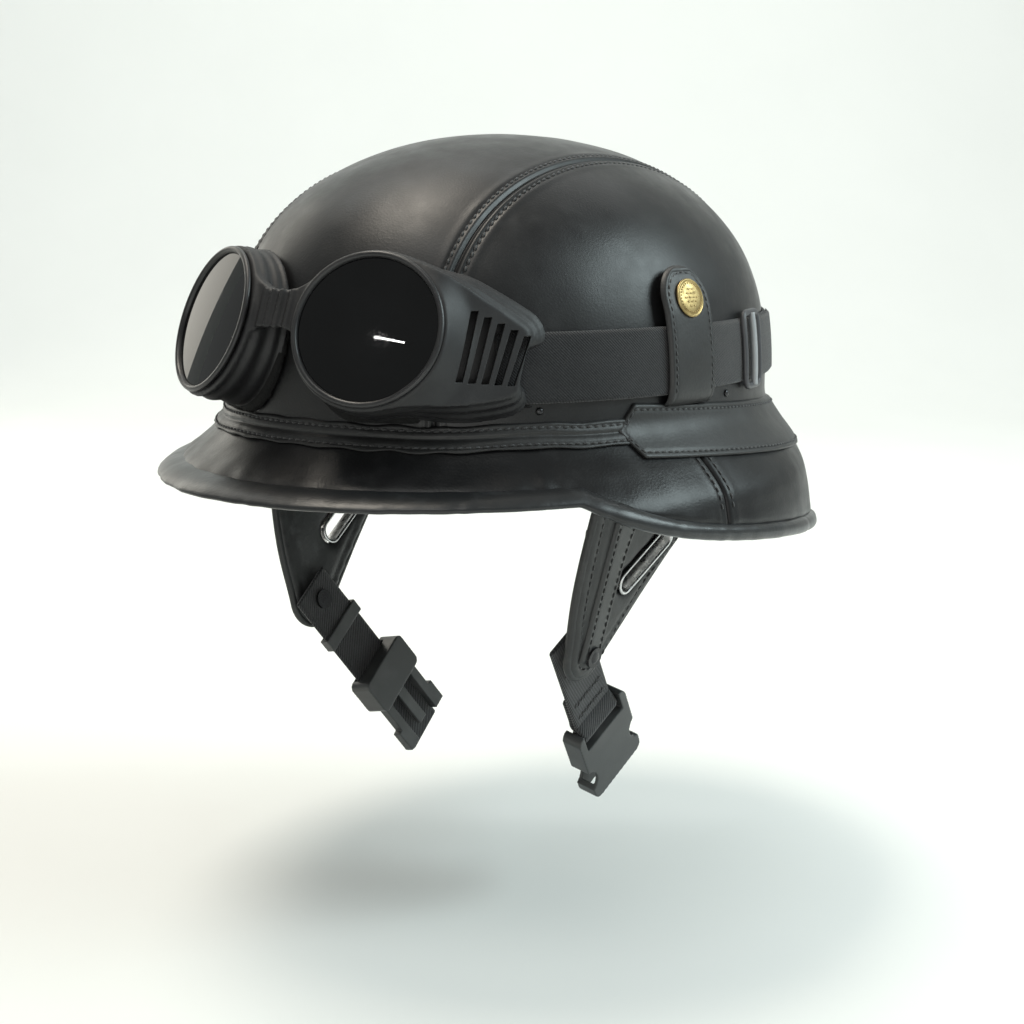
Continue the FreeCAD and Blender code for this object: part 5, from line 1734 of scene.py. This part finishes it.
# ---------------------------------------------------------------- the helmet put together

make_camera()
make_lights()
make_stage()
finish = make_finishes()

dress(crown_center(), "helmet", finish["crown_leather"])
dress(side_panel(False), "helmet", finish["crown_leather"])
dress(side_panel(True), "helmet", finish["crown_leather"])
dress(brim_panel(False), "helmet", finish["brim_leather"])
dress(brim_panel(True), "helmet", finish["brim_leather"])
dress(rolled_edge(), "helmet", finish["edge_roll"])
dress(front_tape(), "helmet", finish["band_leather"])
dress(rear_band(), "helmet", finish["band_leather"])
for sewn in (crown_stitches(), brim_stitches(), trim_stitches()):
    dress(sewn, "helmet", finish["thread"])

front_runs, rear_run, turned_end = make_straps()
for piece, start, end in front_runs:
    dress(piece, None, finish["elastic"])
    tuple(start)
    tuple(end)
    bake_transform(piece)
dress(rear_run, "helmet", finish["elastic"])
dress(turned_end, "helmet", finish["elastic"])
slider, bars = make_slider()
dress(slider, "strap_slider", finish["slider_plastic"])
for bar in bars:
    dress(bar, "strap_slider", finish["slider_bar"])
for side in ("left", "right"):
    tab, sewn = make_tab(side == "right")
    dress(tab, "tab_" + side, finish["band_leather"])
    dress(sewn, "tab_" + side, finish["thread"])
    for metal_piece in make_snap(side == "right"):
        dress(metal_piece, "tab_" + side, finish["snap_brass"])
for rivet in make_rivets():
    dress(rivet, "helmet", finish["rivet_steel"])

goggles = make_goggles()
for kind, finish_name, slot_name in (("frame", "goggle_rubber", "goggle_rubber"),
                                     ("gasket", "gasket_foam", "gasket_foam"),
                                     ("bezel", "bezel_plastic", "goggle_bezel"),
                                     ("lens", "smoked_lens", "dark_lens")):
    for piece in goggles[kind]:
        dress(piece, "goggles", finish[finish_name])

for side in ("left", "right"):
    body = "flap_" + side
    pad, piping, sewn, placed, rim_line = make_flap(side)
    dress(pad, body, finish["flap_leather"])
    dress(piping, body, finish["flap_leather"])
    dress(sewn, body, finish["thread"])
    facing, sewn = make_facing(side, placed)
    dress(facing, body, finish["facing_leather"])
    dress(sewn, body, finish["thread"])
    dress(make_slot_rim(side, placed), body, finish["slot_chrome"])
    dress(make_flap_rivets(side, placed), body, finish["rivet_steel"])
    strap, sewn_pieces, place = make_webbing(side)
    dress(strap, "chin_" + side, finish["webbing"])
    for sewn in sewn_pieces:
        dress(sewn, "chin_" + side, finish["thread"])
buckles = make_buckles()
for node, body in (("buckle_socket", "socket"), ("buckle_plug", "plug"), ("plug_prong_rear", "prong_rear"),
                   ("plug_prong_front", "prong_front"), ("webbing_keeper", "chin_right")):
    dress(buckles[node], body, finish["buckle_plastic"])

liner = make_liner()
for piece in liner["cloth"]:
    dress(piece, "helmet", finish["liner_cloth"])
for piece in liner["leather"]:
    dress(piece, "helmet", finish["lining_leather"])

for node, finish_name in (("shell", "shell_laminate"), ("brim_lining", "lining_leather"),
                          ("flap_hinge_left", "webbing"), ("flap_hinge_right", "webbing"),
                          ("snap_stud_left", "snap_brass"), ("snap_stud_right", "snap_brass"),
                          ("flap_rivet_left", "rivet_steel"), ("flap_rivet_right", "rivet_steel")):
    nodes[node].data.materials.clear()
    nodes[node].data.materials.append(finish[finish_name])
